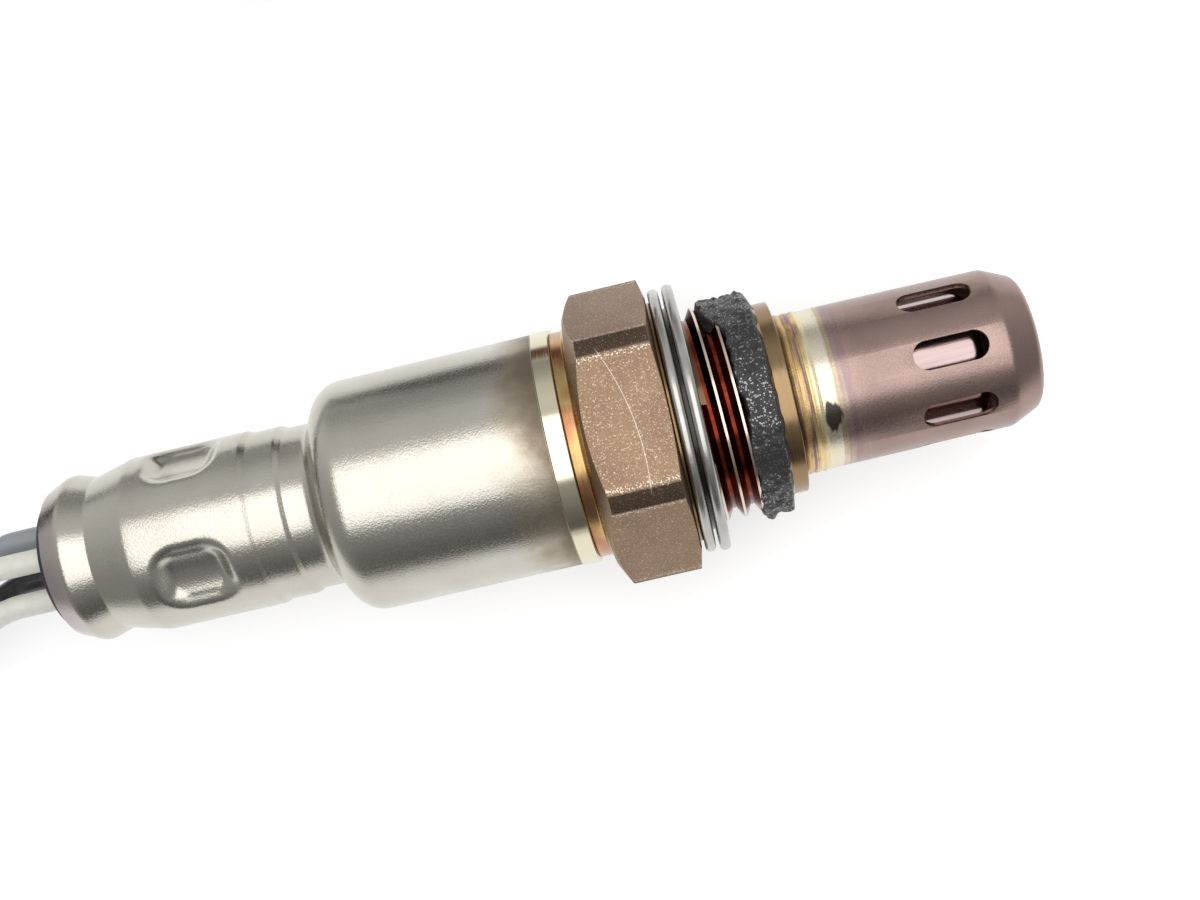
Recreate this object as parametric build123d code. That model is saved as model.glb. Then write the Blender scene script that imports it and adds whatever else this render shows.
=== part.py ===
from build123d import *
import os
from math import cos, pi, radians, sin, sqrt, tan

# A four-wire heated oxygen sensor for an exhaust pipe, lying on a table with its lead coiled.
# X runs along the sensor, with the probe tip towards +X. The origin is on the axis, at the
# front face of the sealing gasket, and Z is up. All lengths are in millimetres.

# Shared clearances
FIT = 0.03  # radial gap of a pressed or welded seat
EASY = 0.1  # gap round a piece that is dropped in
OVERRUN = 1.0  # how far a cutting shape runs past what it cuts

# Metal shell: thread, hexagon, collars and the spigot that carries the shields
THREAD_D = 17.9  # crest diameter of the M18 x 1.5 thread
THREAD_LENGTH = 6.0
THREAD_DEPTH = 0.92
NECK_R = THREAD_D / 2 - THREAD_DEPTH  # root of the thread and of the gasket's neck
PILOT_D = 16.0
PILOT_LENGTH = 1.2
SPIGOT_LENGTH = 4.0
SPIGOT_WALL = 0.95
HEX_FLATS = 22.0
HEX_CORNERS = 24.6  # across the turned-down corners
HEX_LENGTH = 7.0
HEX_REAR_CHAMFER = 0.9
HEX_FRONT_CHAMFER = 0.4
HEX_FACE_D = 21.0  # flat ring left on the ends of the hexagon
SEAT_COLLAR_D = 20.2
SEAT_COLLAR_LENGTH = 0.25
REAR_COLLAR_LENGTH = 1.3
REAR_COLLAR_STEP = 0.25  # how far the collar lies below the casing
REAR_COLLAR_FLARE = 0.35
TAIL_LENGTH = 4.4  # stretch of the shell inside the casing
TAIL_WALL = 1.7
LIP_LENGTH = 2.4  # thin edge rolled over the packing
LIP_WALL = 0.7
LIP_HOOK = 0.6  # thickness of the rolled edge
LIP_REACH = 1.1  # how far the rolled edge reaches in
SEAT_DEPTH = 3.0  # from the gasket face back to the step that the element sits on

# Folded sealing gasket
GASKET_THICKNESS = 2.1
GASKET_WIDTH = 3.19  # from the neck behind the thread to the front rim
GASKET_REAR_INSET = 0.15  # how far the rear rim lies below the front one
GASKET_FOLD_GAP = 0.3
GASKET_WEB = 1.3  # solid width inside the fold
GASKET_EDGE_RADIUS = 0.38
GASKET_BEND_FLAT = 0.06  # flat left on the neck side, where the sheet turns back on itself

# Outer and inner shields over the probe
SHIELD_D = 13.3
SHIELD_WALL = 0.45
SHIELD_BODY_LENGTH = 17.3
SHIELD_TAPER = 0.1  # radius lost towards the tip
DOME_LENGTH = 2.5
DOME_END_D = 10.8
DOME_CROWN = 0.4
DOME_CORNER_RADIUS = 0.9
DOME_SHOULDER_RADIUS = 1.2
SHIELD_BASE_GAP = 0.1
WELD_RING_COUNT = 3
WELD_RING_LENGTH = 0.7
WELD_RING_HEIGHT = 0.1
SLOT_COUNT = 8
SLOT_LENGTH = 6.0
SLOT_WIDTH = 2.4
SLOT_TO_DOME = 1.6
INNER_SHIELD_WALL = 0.35
INNER_SHIELD_FLANGE = 0.4
INNER_SHIELD_GAP = 4.0  # between the closed ends of the two shields
INNER_SHIELD_ROOT = 4.3  # length pressed into the shell
INNER_HOLE_D = 2.0
INNER_HOLE_COUNT = 6
INNER_HOLE_TO_FLANGE = 2.4
INNER_END_RADIUS = 1.2

# Ceramic sensing element and what packs it in the shell
ELEMENT_FLANGE_D = 14.4
ELEMENT_FLANGE_LENGTH = 4.0
ELEMENT_FLANGE_CHAMFER = 1.2
ELEMENT_ROOT_D = 8.0
ELEMENT_TIP_D = 5.6
ELEMENT_REACH = 21.0  # from the gasket face to the tip
ELEMENT_REAR_D = 8.6
ELEMENT_STAND_OUT = 2.3  # how far it stands out of the shell's rolled edge
ELEMENT_BORE_D = 3.4
ELEMENT_TIP_WALL = 1.4
ELEMENT_POCKET_D = 4.6
ELEMENT_POCKET_LENGTH = 9.0
WASHER_THICKNESS = 0.4
POWDER_LENGTH = 4.5
BUSH_LENGTH = 4.1
CRIMP_RING_THICKNESS = 0.6
HEATER_D = 3.0
HEATER_TIP_GAP = 0.6
HEATER_TAIL = 5.5  # stretch of the heater behind the element

# Drawn outer casing
CASING_D = 19.55
CASING_WALL = 0.45
CASING_BODY_LENGTH = 18.1
BEAD_LENGTH = 1.5
BEAD_HEIGHT = 0.1
SHOULDER_LENGTH = 3.0
SHOULDER_RADIUS = 2.6
SHOULDER_NECK_RADIUS = 0.9
NECK_D = 13.5
NECK_LENGTH = 2.2
BAND_D = 14.0
BAND_LENGTH = 2.9
TUBE_D = 14.45
TUBE_LENGTH = 9.05
TUBE_STEP = 0.5
GROOVE_D = 12.8
GROOVE_RUN = 3.7  # from the end of the tube to the bottom of the groove
RIM_D = 13.8
RIM_RUN = 2.0
RIM_END_D = 12.6
RIM_END_RUN = 2.4
GROOVE_RADIUS = 2.0
RIM_RADIUS = 1.3
DIMPLE_COUNT = 4
DIMPLE_ANGLE = 33.0  # from the top flat of the hexagon, towards -Y
DIMPLE_LENGTH = 5.8
DIMPLE_WIDTH = 5.4
DIMPLE_DEPTH = 0.85
DIMPLE_CORNER = 1.2
DIMPLE_SLOPE = 50.0
DIMPLE_TO_STEP = 1.7

# Contact holder, spring sleeve, wire guide and grommet inside the casing
HOLDER_GAP = 2.6  # from the rear of the element to the holder
HOLDER_NOSE_D = 14.0
HOLDER_FLANGE_LENGTH = 4.0
HOLDER_FLANGE_TO_SHOULDER = 0.2
HOLDER_REAR_LENGTH = 10.0
HOLDER_BORE_D = 2.0
SPRING_WALL = 0.5
SPRING_WINDOW_COUNT = 3
SPRING_WINDOW_SHARE = 0.6
GUIDE_LENGTH = 5.2
GROMMET_DOME = 0.8

# Terminals
WIRE_CIRCLE_D = 5.6
WIRE_CIRCLE_ANGLE = 11.0
STRIP_WIDTH = 1.5
STRIP_THICKNESS = 0.35
TAB_THICKNESS = 0.4
BARREL_LENGTH = 9.0
BARREL_WALL = 0.35
CONTACT_WALL = 0.4
INNER_CONTACT_LENGTH = 6.0

# Wires and sleeve
WIRE_D = 2.0
SLEEVE_D = 6.5
GASKET_R = NECK_R + FIT + GASKET_WIDTH
FLOOR_Z = -GASKET_R  # the surface that the sensor lies on
SLEEVE_Z = FLOOR_Z + SLEEVE_D / 2
LEAD_Y = -7.0
MOUTH_X = -89.5  # where the four wires enter the sleeve
COIL_MIDDLE_D = 68.0
COIL_X = -120.0
COIL_LAYERS = 2
COIL_SECTION_WIDTH = 7.8
COIL_INSET = 0.15  # how far the coil's flat sides lie inside the turns
COIL_EXIT_X = -97.0
COIL_Y = LEAD_Y + COIL_MIDDLE_D / 2
EXIT_Y = COIL_Y + COIL_MIDDLE_D / 2
EXIT_Z = SLEEVE_Z + SLEEVE_D * (COIL_LAYERS - 1)
ARC_SHARE = 0.45  # arc tangent as a share of the shorter run
CAP_LENGTH = 8.0
CAP_WALL = 0.65
CAP_OVERHANG = 1.5

# Connector
CONNECTOR_X = -45.0  # mouth of the rubber boot
CONNECTOR_WIDTH = 18.0
CONNECTOR_HEIGHT = 12.0
CONNECTOR_BODY_LENGTH = 20.0
CONNECTOR_NOSE_LENGTH = 13.0
CONNECTOR_NOSE_WIDTH = 14.0
CONNECTOR_NOSE_HEIGHT = 9.6
CONNECTOR_CORNER = 1.6
NOSE_CORNER = 1.2
CAVITY_SIZE = 2.6
CAVITY_SPACING_Y = 5.0
CAVITY_SPACING_Z = 4.2
CONTACT_SIZE = 2.2
CONTACT_LENGTH = 13.0
CONTACT_INSET = 1.2
CONTACT_HOLE = 1.2
SEAL_POCKET_LENGTH = 5.0
SEAL_WIDTH = 13.0
SEAL_HEIGHT = 8.6
SEAL_CORNER = 2.0
BOOT_LENGTH = 11.0
BOOT_MOUTH_D = 9.4
BOOT_ROOT_D = 11.4
BOOT_BORE_DEPTH = 7.0
BOOT_PLUG_LENGTH = 2.0
RING_SEAL_LENGTH = 4.0
RING_SEAL_THICKNESS = 1.0
RING_SEAL_RIB = 0.35
LATCH_WIDTH = 7.0
LATCH_LENGTH = 20.0
LATCH_THICKNESS = 1.4
LATCH_GAP = 1.4
LATCH_POST_LENGTH = 3.0
LATCH_HOOK = 0.8
LOCK_LENGTH = 8.0
LOCK_HEIGHT = 2.6
LOCK_DEPTH = 1.6

# Places along X that follow from the sizes
THREAD_FRONT = THREAD_LENGTH
PILOT_FRONT = THREAD_FRONT + PILOT_LENGTH
SPIGOT_FRONT = PILOT_FRONT + SPIGOT_LENGTH
HEX_FRONT = -GASKET_THICKNESS - SEAT_COLLAR_LENGTH
HEX_REAR = HEX_FRONT - HEX_LENGTH
CASING_FRONT = HEX_REAR - REAR_COLLAR_LENGTH
TAIL_REAR = CASING_FRONT - TAIL_LENGTH
WASHER_REAR = -SEAT_DEPTH - WASHER_THICKNESS
FLANGE_REAR = WASHER_REAR - ELEMENT_FLANGE_LENGTH
POWDER_REAR = FLANGE_REAR - POWDER_LENGTH
BUSH_REAR = POWDER_REAR - BUSH_LENGTH
LIP_REAR = BUSH_REAR - CRIMP_RING_THICKNESS - LIP_HOOK
ELEMENT_REAR = LIP_REAR - ELEMENT_STAND_OUT
CASING_BODY_REAR = CASING_FRONT - CASING_BODY_LENGTH
NECK_FRONT = CASING_BODY_REAR - SHOULDER_LENGTH
NECK_REAR = NECK_FRONT - NECK_LENGTH
BAND_REAR = NECK_REAR - BAND_LENGTH
TUBE_FRONT = BAND_REAR - TUBE_STEP
TUBE_REAR = TUBE_FRONT - TUBE_LENGTH
GROOVE_X = TUBE_REAR - GROOVE_RUN
RIM_X = GROOVE_X - RIM_RUN
RIM_END = RIM_X - RIM_END_RUN
HOLDER_FRONT = ELEMENT_REAR - HOLDER_GAP
HOLDER_FLANGE_REAR = CASING_BODY_REAR + SHOULDER_RADIUS / 2 - HOLDER_FLANGE_TO_SHOULDER
HOLDER_FLANGE_FRONT = HOLDER_FLANGE_REAR + HOLDER_FLANGE_LENGTH
HOLDER_REAR = HOLDER_FLANGE_REAR - HOLDER_REAR_LENGTH
DIMPLE_X = TUBE_FRONT - DIMPLE_TO_STEP - DIMPLE_LENGTH / 2
GUIDE_FRONT = DIMPLE_X + GUIDE_LENGTH / 2
GUIDE_REAR = DIMPLE_X - GUIDE_LENGTH / 2
GROMMET_REAR = RIM_END - GROMMET_DOME
GROMMET_FRONT = DIMPLE_X - DIMPLE_LENGTH / 2 - CASING_WALL - EASY
BARREL_FRONT = HOLDER_REAR - EASY
BARREL_REAR = BARREL_FRONT - BARREL_LENGTH
SHIELD_REAR = PILOT_FRONT + SHIELD_BASE_GAP
SHIELD_BODY_FRONT = SHIELD_REAR + SHIELD_BODY_LENGTH
DOME_FRONT = SHIELD_BODY_FRONT + DOME_LENGTH
TIP = DOME_FRONT + DOME_CROWN
INNER_TIP = TIP - SHIELD_WALL - INNER_SHIELD_GAP
SLOT_MIDDLE = SHIELD_BODY_FRONT - SLOT_TO_DOME - SLOT_LENGTH / 2

# Radii that follow from the sizes
SHIELD_R = SHIELD_D / 2
SPIGOT_R = SHIELD_R - SHIELD_WALL - FIT
FRONT_BORE_R = SPIGOT_R - SPIGOT_WALL
INNER_SHIELD_R = FRONT_BORE_R - FIT
CASING_R = CASING_D / 2
CASING_BORE_R = CASING_R - CASING_WALL
TAIL_R = CASING_BORE_R - FIT
REAR_BORE_R = TAIL_R - TAIL_WALL
PACK_R = REAR_BORE_R - EASY
LIP_R = REAR_BORE_R + LIP_WALL
TUBE_BORE_R = TUBE_D / 2 - CASING_WALL
HOLDER_R = NECK_D / 2 - CASING_WALL - EASY
HOLDER_FLANGE_R = CASING_BORE_R - 2 * EASY
GUIDE_R = TUBE_BORE_R - DIMPLE_DEPTH - EASY
BARREL_R = WIRE_D / 2 + FIT + BARREL_WALL
CONNECTOR_Z = FLOOR_Z + CONNECTOR_HEIGHT / 2
BOOT_FRONT = CONNECTOR_X + BOOT_LENGTH
BODY_FRONT = BOOT_FRONT + CONNECTOR_BODY_LENGTH
NOSE_FRONT = BODY_FRONT + CONNECTOR_NOSE_LENGTH


def turned(*corners, radii=None):
    """A solid of revolution round the sensor's axis, from the corners (x, radius) of its
    half section. Each corner may have a rounding radius."""
    if radii:
        outline = FilletPolyline(*corners, radius=radii, close=True)
    else:
        outline = Polyline(*corners, close=True)
    return revolve(make_face(outline.edges()), Axis.X, 360)


def ring(front, rear, outer_r, inner_r=0):
    """A plain tube or disc from one place on the axis to another."""
    return turned((front, outer_r), (rear, outer_r), (rear, inner_r), (front, inner_r))


def block(x0, x1, width, height, y=0, z=0, corner=0):
    """A bar along X with rounded long edges, centred on y and z."""
    section = RectangleRounded(width, height, corner) if corner else Rectangle(width, height)
    plane = Plane(origin=(x0, y, z), x_dir=(0, 1, 0), z_dir=(1, 0, 0))
    return extrude(plane * section, x1 - x0)


def wire_place(index):
    """The y and z of one of the four wires in the grommet, guide and holder."""
    angle = radians(WIRE_CIRCLE_ANGLE + 90 * index)
    return WIRE_CIRCLE_D / 2 * sin(angle), WIRE_CIRCLE_D / 2 * cos(angle)


def four_bores(front, rear, bore_d):
    """Four round bars on the wire circle, for cutting or for counting."""
    bars = []
    for index in range(4):
        y, z = wire_place(index)
        bars.append(Pos(0, y, z) * ring(front, rear, bore_d / 2))
    return bars


def metal_shell():
    """Turned and threaded steel body with its hexagon, stepped bore and rolled rear edge."""
    collar_r = CASING_R - REAR_COLLAR_STEP
    hexagon = extrude(
        Plane(origin=(HEX_REAR, 0, 0), x_dir=(0, 1, 0), z_dir=(1, 0, 0))
        * RegularPolygon(HEX_FLATS / 2, 6, major_radius=False),
        HEX_LENGTH,
    )
    hexagon &= turned(
        (HEX_REAR, 0),
        (HEX_REAR, HEX_FACE_D / 2),
        (HEX_REAR + HEX_REAR_CHAMFER, HEX_CORNERS / 2),
        (HEX_FRONT - HEX_FRONT_CHAMFER, HEX_CORNERS / 2),
        (HEX_FRONT, HEX_FACE_D / 2),
        (HEX_FRONT, 0),
    )
    body = turned(
        (SPIGOT_FRONT, 0),
        (SPIGOT_FRONT, SPIGOT_R),
        (PILOT_FRONT, SPIGOT_R),
        (PILOT_FRONT, PILOT_D / 2),
        (THREAD_FRONT, PILOT_D / 2),
        (THREAD_FRONT, THREAD_D / 2),
        (0, THREAD_D / 2),
        (0, NECK_R),
        (-GASKET_THICKNESS, NECK_R),
        (-GASKET_THICKNESS, SEAT_COLLAR_D / 2),
        (HEX_FRONT, SEAT_COLLAR_D / 2),
        (HEX_REAR, collar_r + REAR_COLLAR_FLARE),
        (HEX_REAR - REAR_COLLAR_FLARE, collar_r),
        (CASING_FRONT, collar_r),
        (CASING_FRONT, TAIL_R),
        (TAIL_REAR, TAIL_R),
        (TAIL_REAR, LIP_R),
        (LIP_REAR, LIP_R),
        (LIP_REAR, 0),
    )
    bore = turned(
        (SPIGOT_FRONT + OVERRUN, 0),
        (SPIGOT_FRONT + OVERRUN, FRONT_BORE_R),
        (-SEAT_DEPTH, FRONT_BORE_R),
        (-SEAT_DEPTH, REAR_BORE_R),
        (LIP_REAR + LIP_HOOK, REAR_BORE_R),
        (LIP_REAR + LIP_HOOK, REAR_BORE_R - LIP_REACH),
        (LIP_REAR - OVERRUN, REAR_BORE_R - LIP_REACH),
        (LIP_REAR - OVERRUN, 0),
    )
    return body + hexagon - bore


def sealing_gasket():
    """Sheet-steel washer folded back on itself, with a gap between its two rims."""
    layer = (GASKET_THICKNESS - GASKET_FOLD_GAP) / 2
    inner_r = NECK_R + FIT
    fold_r = inner_r + GASKET_WEB
    rear_r = GASKET_R - GASKET_REAR_INSET
    edge = GASKET_EDGE_RADIUS
    bend = (GASKET_THICKNESS - GASKET_BEND_FLAT) / 2
    return turned(
        (-GASKET_THICKNESS, inner_r),
        (-GASKET_THICKNESS, rear_r),
        (layer - GASKET_THICKNESS, rear_r),
        (layer - GASKET_THICKNESS, fold_r),
        (-layer, fold_r),
        (-layer, GASKET_R),
        (0, GASKET_R),
        (0, inner_r),
        radii=[bend, edge, edge, 0, 0, edge, edge, bend],
    )


def slots():
    """The round-ended gas slots, as cutting bars that pass through the shield's wall."""
    start = SHIELD_R - SHIELD_WALL - SHIELD_TAPER - OVERRUN / 2
    plane = Plane(origin=(SLOT_MIDDLE, 0, start), x_dir=(1, 0, 0), z_dir=(0, 0, 1))
    bar = extrude(plane * SlotOverall(SLOT_LENGTH, SLOT_WIDTH), SHIELD_R - start + OVERRUN)
    return [Rot(X=360 / SLOT_COUNT * index) * bar for index in range(SLOT_COUNT)]


def outer_shield():
    """Deep-drawn cup with weld rings at its base, eight slots and a domed end."""
    tip_r = SHIELD_R - SHIELD_TAPER
    base = [(SHIELD_REAR, SHIELD_R)]
    for index in range(WELD_RING_COUNT):
        x = SHIELD_REAR + WELD_RING_LENGTH * (index + 1)
        base += [
            (x - WELD_RING_LENGTH / 2, SHIELD_R + WELD_RING_HEIGHT),
            (x, SHIELD_R),
        ]
    skin = [(SHIELD_BODY_FRONT, tip_r), (DOME_FRONT, DOME_END_D / 2), (TIP, 0)]
    inside = [
        (TIP - SHIELD_WALL, 0),
        (DOME_FRONT - SHIELD_WALL, DOME_END_D / 2 - SHIELD_WALL),
        (SHIELD_BODY_FRONT - SHIELD_WALL / 2, tip_r - SHIELD_WALL),
        (SHIELD_REAR, SHIELD_R - SHIELD_WALL),
    ]
    corner, shoulder = DOME_CORNER_RADIUS, DOME_SHOULDER_RADIUS
    radii = [0] * len(base) + [shoulder, corner, 0, 0, corner - SHIELD_WALL, shoulder / 2, 0]
    cup = turned(*base, *skin, *inside, radii=radii)
    return cup - slots()


def inner_shield():
    """Plain drawn cup inside the slotted one, with a ring of round holes near its base."""
    wall_r = INNER_SHIELD_R - INNER_SHIELD_WALL
    flange_rear = SPIGOT_FRONT
    flange_front = SPIGOT_FRONT + INNER_SHIELD_FLANGE
    flange_r = SPIGOT_R - EASY
    cup = turned(
        (SPIGOT_FRONT - INNER_SHIELD_ROOT, INNER_SHIELD_R),
        (flange_rear, INNER_SHIELD_R),
        (flange_rear, flange_r),
        (flange_front, flange_r),
        (flange_front, INNER_SHIELD_R),
        (INNER_TIP, INNER_SHIELD_R),
        (INNER_TIP, 0),
        (INNER_TIP - INNER_SHIELD_WALL, 0),
        (INNER_TIP - INNER_SHIELD_WALL, wall_r),
        (SPIGOT_FRONT - INNER_SHIELD_ROOT, wall_r),
        radii=[0, 0, 0, 0, 0, INNER_END_RADIUS, 0, 0, INNER_END_RADIUS - INNER_SHIELD_WALL, 0],
    )
    plane = Plane(origin=(flange_front + INNER_HOLE_TO_FLANGE, 0, 0))
    bar = extrude(plane * Circle(INNER_HOLE_D / 2), INNER_SHIELD_R + OVERRUN)
    return cup - [Rot(X=360 / INNER_HOLE_COUNT * k) * bar for k in range(INNER_HOLE_COUNT)]


def sensing_element():
    """Zirconia thimble: closed tapered finger, seating flange and hollow rear barrel."""
    tip_r = ELEMENT_TIP_D / 2
    rear_r = ELEMENT_REAR_D / 2
    chamfer = ELEMENT_FLANGE_CHAMFER
    body = turned(
        (ELEMENT_REACH, 0),
        (ELEMENT_REACH, tip_r),
        (WASHER_REAR, ELEMENT_ROOT_D / 2),
        (WASHER_REAR, ELEMENT_FLANGE_D / 2),
        (FLANGE_REAR + chamfer, ELEMENT_FLANGE_D / 2),
        (FLANGE_REAR, ELEMENT_FLANGE_D / 2 - chamfer),
        (FLANGE_REAR, rear_r),
        (ELEMENT_REAR, rear_r),
        (ELEMENT_REAR, 0),
        radii=[0, tip_r * ARC_SHARE * 2, 0, 0, 0, 0, 0, 0, 0],
    )
    bore_end = ELEMENT_REACH - ELEMENT_TIP_WALL
    bore = ring(bore_end, ELEMENT_REAR - OVERRUN, ELEMENT_BORE_D / 2)
    pocket = ring(
        ELEMENT_REAR + ELEMENT_POCKET_LENGTH, ELEMENT_REAR - OVERRUN, ELEMENT_POCKET_D / 2
    )
    return body - bore - pocket


def powder_seal():
    """Pressed talc ring that fills the space behind the element's flange."""
    inner_r = ELEMENT_REAR_D / 2 + FIT
    return ring(FLANGE_REAR, POWDER_REAR, PACK_R, inner_r)


def heater_rod():
    """Ceramic rod heater that stands in the bore of the element."""
    front = ELEMENT_REACH - ELEMENT_TIP_WALL - HEATER_TIP_GAP
    return ring(front, ELEMENT_REAR - HEATER_TAIL, HEATER_D / 2)


def casing_skin(inset):
    """Corners and rounding radii of the casing's outside, or of its inside when inset by
    the wall, from the front edge to the rear end."""
    places = [
        (CASING_FRONT, CASING_R, 0),
        (CASING_BODY_REAR - SHOULDER_LENGTH / 2, CASING_R, SHOULDER_RADIUS - inset),
        (NECK_FRONT, NECK_D / 2, SHOULDER_NECK_RADIUS + inset),
        (NECK_REAR, NECK_D / 2, 0),
        (NECK_REAR - TUBE_STEP, BAND_D / 2, 0),
        (BAND_REAR, BAND_D / 2, 0),
        (TUBE_FRONT, TUBE_D / 2, 0),
        (TUBE_REAR, TUBE_D / 2, GROOVE_RADIUS),
        (GROOVE_X, GROOVE_D / 2, GROOVE_RADIUS / 2),
        (RIM_X, RIM_D / 2, RIM_RADIUS - inset),
        (RIM_END, RIM_END_D / 2, 0),
    ]
    return [(x, r - inset) for x, r, _ in places], [radius for _, _, radius in places]


def dimple_plane(index, height):
    """The plane across one crimp dimple, at a height over the sensor's axis."""
    turn = Rot(X=DIMPLE_ANGLE + 360 / DIMPLE_COUNT * index)
    return turn * Pos(DIMPLE_X, 0, height)


def dimple_bar(index, floor, grow):
    """A tapered bar with rounded corners that widens outwards from the dimple's floor."""
    rise = TUBE_D / 2 - floor
    run = DIMPLE_DEPTH * tan(radians(DIMPLE_SLOPE))
    outline = RectangleRounded(
        DIMPLE_LENGTH - 2 * (run - grow), DIMPLE_WIDTH - 2 * (run - grow), DIMPLE_CORNER + grow
    )
    return dimple_plane(index, floor) * extrude(outline, rise, taper=-DIMPLE_SLOPE)


def outer_casing():
    """Drawn stainless casing: weld bead, shoulder, neck, dimpled tube, crimp groove, rim."""
    outside, outer_radii = casing_skin(0)
    inside, inner_radii = casing_skin(CASING_WALL)
    shell = turned(*outside, *reversed(inside), radii=outer_radii + inner_radii[::-1])
    bead = turned(
        (CASING_FRONT, CASING_R - FIT),
        (CASING_FRONT - BEAD_LENGTH / 5, CASING_R + BEAD_HEIGHT),
        (CASING_FRONT - BEAD_LENGTH * 4 / 5, CASING_R + BEAD_HEIGHT),
        (CASING_FRONT - BEAD_LENGTH, CASING_R - FIT),
    )
    shell += bead
    floor = TUBE_D / 2 - DIMPLE_DEPTH
    cylinder = ring(TUBE_FRONT, TUBE_REAR, TUBE_D / 2 - FIT)
    for index in range(DIMPLE_COUNT):
        shell += dimple_bar(index, floor - CASING_WALL, CASING_WALL) & cylinder
    for index in range(DIMPLE_COUNT):
        shell -= dimple_bar(index, floor, 0)
    return shell


def contact_holder():
    """Ceramic holder with a flange, four terminal bores and a bore for the heater's end."""
    body = turned(
        (HOLDER_FRONT, 0),
        (HOLDER_FRONT, HOLDER_NOSE_D / 2),
        (HOLDER_FLANGE_FRONT, HOLDER_NOSE_D / 2),
        (HOLDER_FLANGE_FRONT, HOLDER_FLANGE_R),
        (HOLDER_FLANGE_REAR, HOLDER_FLANGE_R),
        (HOLDER_FLANGE_REAR, HOLDER_R),
        (HOLDER_REAR, HOLDER_R),
        (HOLDER_REAR, 0),
    )
    bores = four_bores(HOLDER_FRONT + OVERRUN, HOLDER_REAR - OVERRUN, HOLDER_BORE_D)
    heater = ring(
        HOLDER_FRONT + OVERRUN, ELEMENT_REAR - HEATER_TAIL - EASY, HEATER_D / 2 + FIT
    )
    return body - bores - heater


def spring_sleeve():
    """Slotted steel sleeve that presses the contact holder against the casing's shoulder."""
    outer_r = HOLDER_FLANGE_R
    sleeve = ring(TAIL_REAR, HOLDER_FLANGE_FRONT, outer_r, outer_r - SPRING_WALL)
    length = (TAIL_REAR - HOLDER_FLANGE_FRONT) * SPRING_WINDOW_SHARE
    middle = (TAIL_REAR + HOLDER_FLANGE_FRONT) / 2
    window = Pos(middle, 0, outer_r) * Box(length, outer_r / 2, outer_r)
    return sleeve - [
        Rot(X=360 / SPRING_WINDOW_COUNT * k) * window for k in range(SPRING_WINDOW_COUNT)
    ]


def wire_guide():
    """Round insulating block that the four dimples grip, with a hole for each terminal."""
    bores = four_bores(GUIDE_FRONT + OVERRUN, GUIDE_REAR - OVERRUN, 2 * (BARREL_R + FIT))
    return ring(GUIDE_FRONT, GUIDE_REAR, GUIDE_R) - bores


def grommet():
    """Rubber plug squeezed into the crimp groove, with four wire holes and a domed face."""
    skin, _ = casing_skin(CASING_WALL + FIT)
    corners = [(GROMMET_FRONT, 0), (GROMMET_FRONT, TUBE_BORE_R - FIT)] + skin[7:]
    corners += [(GROMMET_REAR, skin[-1][1] - GROMMET_DOME), (GROMMET_REAR, 0)]
    radii = [0, 0, GROOVE_RADIUS, GROOVE_RADIUS / 2, RIM_RADIUS - CASING_WALL, 0, 0, 0]
    body = turned(*corners, radii=radii)
    pockets = four_bores(GROMMET_FRONT + OVERRUN, BARREL_REAR - EASY, 2 * (BARREL_R + FIT))
    holes = four_bores(GROMMET_FRONT, GROMMET_REAR - OVERRUN, WIRE_D + 2 * FIT)
    return body - pockets - holes


def terminal(index, tip):
    """Strip along one bore of the holder, ending in a tube crimped on the wire."""
    y, z = wire_place(index)
    turn = Rot(X=-(WIRE_CIRCLE_ANGLE + 90 * index))
    strip_r = WIRE_CIRCLE_D / 2
    strip = block(BARREL_FRONT - BARREL_WALL, tip, STRIP_WIDTH, STRIP_THICKNESS, z=strip_r)
    barrel = ring(BARREL_FRONT, BARREL_REAR, BARREL_R, WIRE_D / 2 + FIT)
    cap = ring(BARREL_FRONT, BARREL_FRONT - BARREL_WALL, BARREL_R)
    return turn * strip + Pos(0, y, z) * (barrel + cap)


def tab(index, front, inner_r, outer_r):
    """Radial tab that joins a terminal's strip to the contact on the element."""
    turn = Rot(X=-(WIRE_CIRCLE_ANGLE + 90 * index))
    height = outer_r - inner_r
    return turn * block(
        front - TAB_THICKNESS, front, STRIP_WIDTH, height, z=(outer_r + inner_r) / 2
    )


def signal_terminal():
    """Terminal with a clip round the outside of the element's rear barrel."""
    clip_rear = ELEMENT_REAR - TAB_THICKNESS - EASY
    inner_r = ELEMENT_REAR_D / 2 + FIT
    clip = ring(LIP_REAR - EASY, clip_rear, inner_r + CONTACT_WALL, inner_r)
    join = tab(1, clip_rear + TAB_THICKNESS, WIRE_CIRCLE_D / 2, inner_r + CONTACT_WALL / 2)
    return terminal(1, clip_rear + TAB_THICKNESS) + clip + join


def ground_terminal():
    """Terminal with a spring sleeve inside the element's rear pocket."""
    sleeve_rear = ELEMENT_REAR - TAB_THICKNESS - EASY
    outer_r = ELEMENT_POCKET_D / 2 - FIT
    sleeve = ring(
        ELEMENT_REAR + INNER_CONTACT_LENGTH, sleeve_rear, outer_r, outer_r - CONTACT_WALL
    )
    strip_r = WIRE_CIRCLE_D / 2 + STRIP_THICKNESS / 2
    join = tab(2, sleeve_rear + TAB_THICKNESS, outer_r - CONTACT_WALL, strip_r)
    return terminal(2, sleeve_rear + TAB_THICKNESS) + sleeve + join


def heater_terminal(index):
    """Terminal whose tab bears on the side of the heater rod."""
    front = HOLDER_FRONT + HOLDER_GAP / 3
    strip_r = WIRE_CIRCLE_D / 2 + STRIP_THICKNESS / 2
    return terminal(index, front) + tab(index, front, HEATER_D / 2 + FIT, strip_r)


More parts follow.
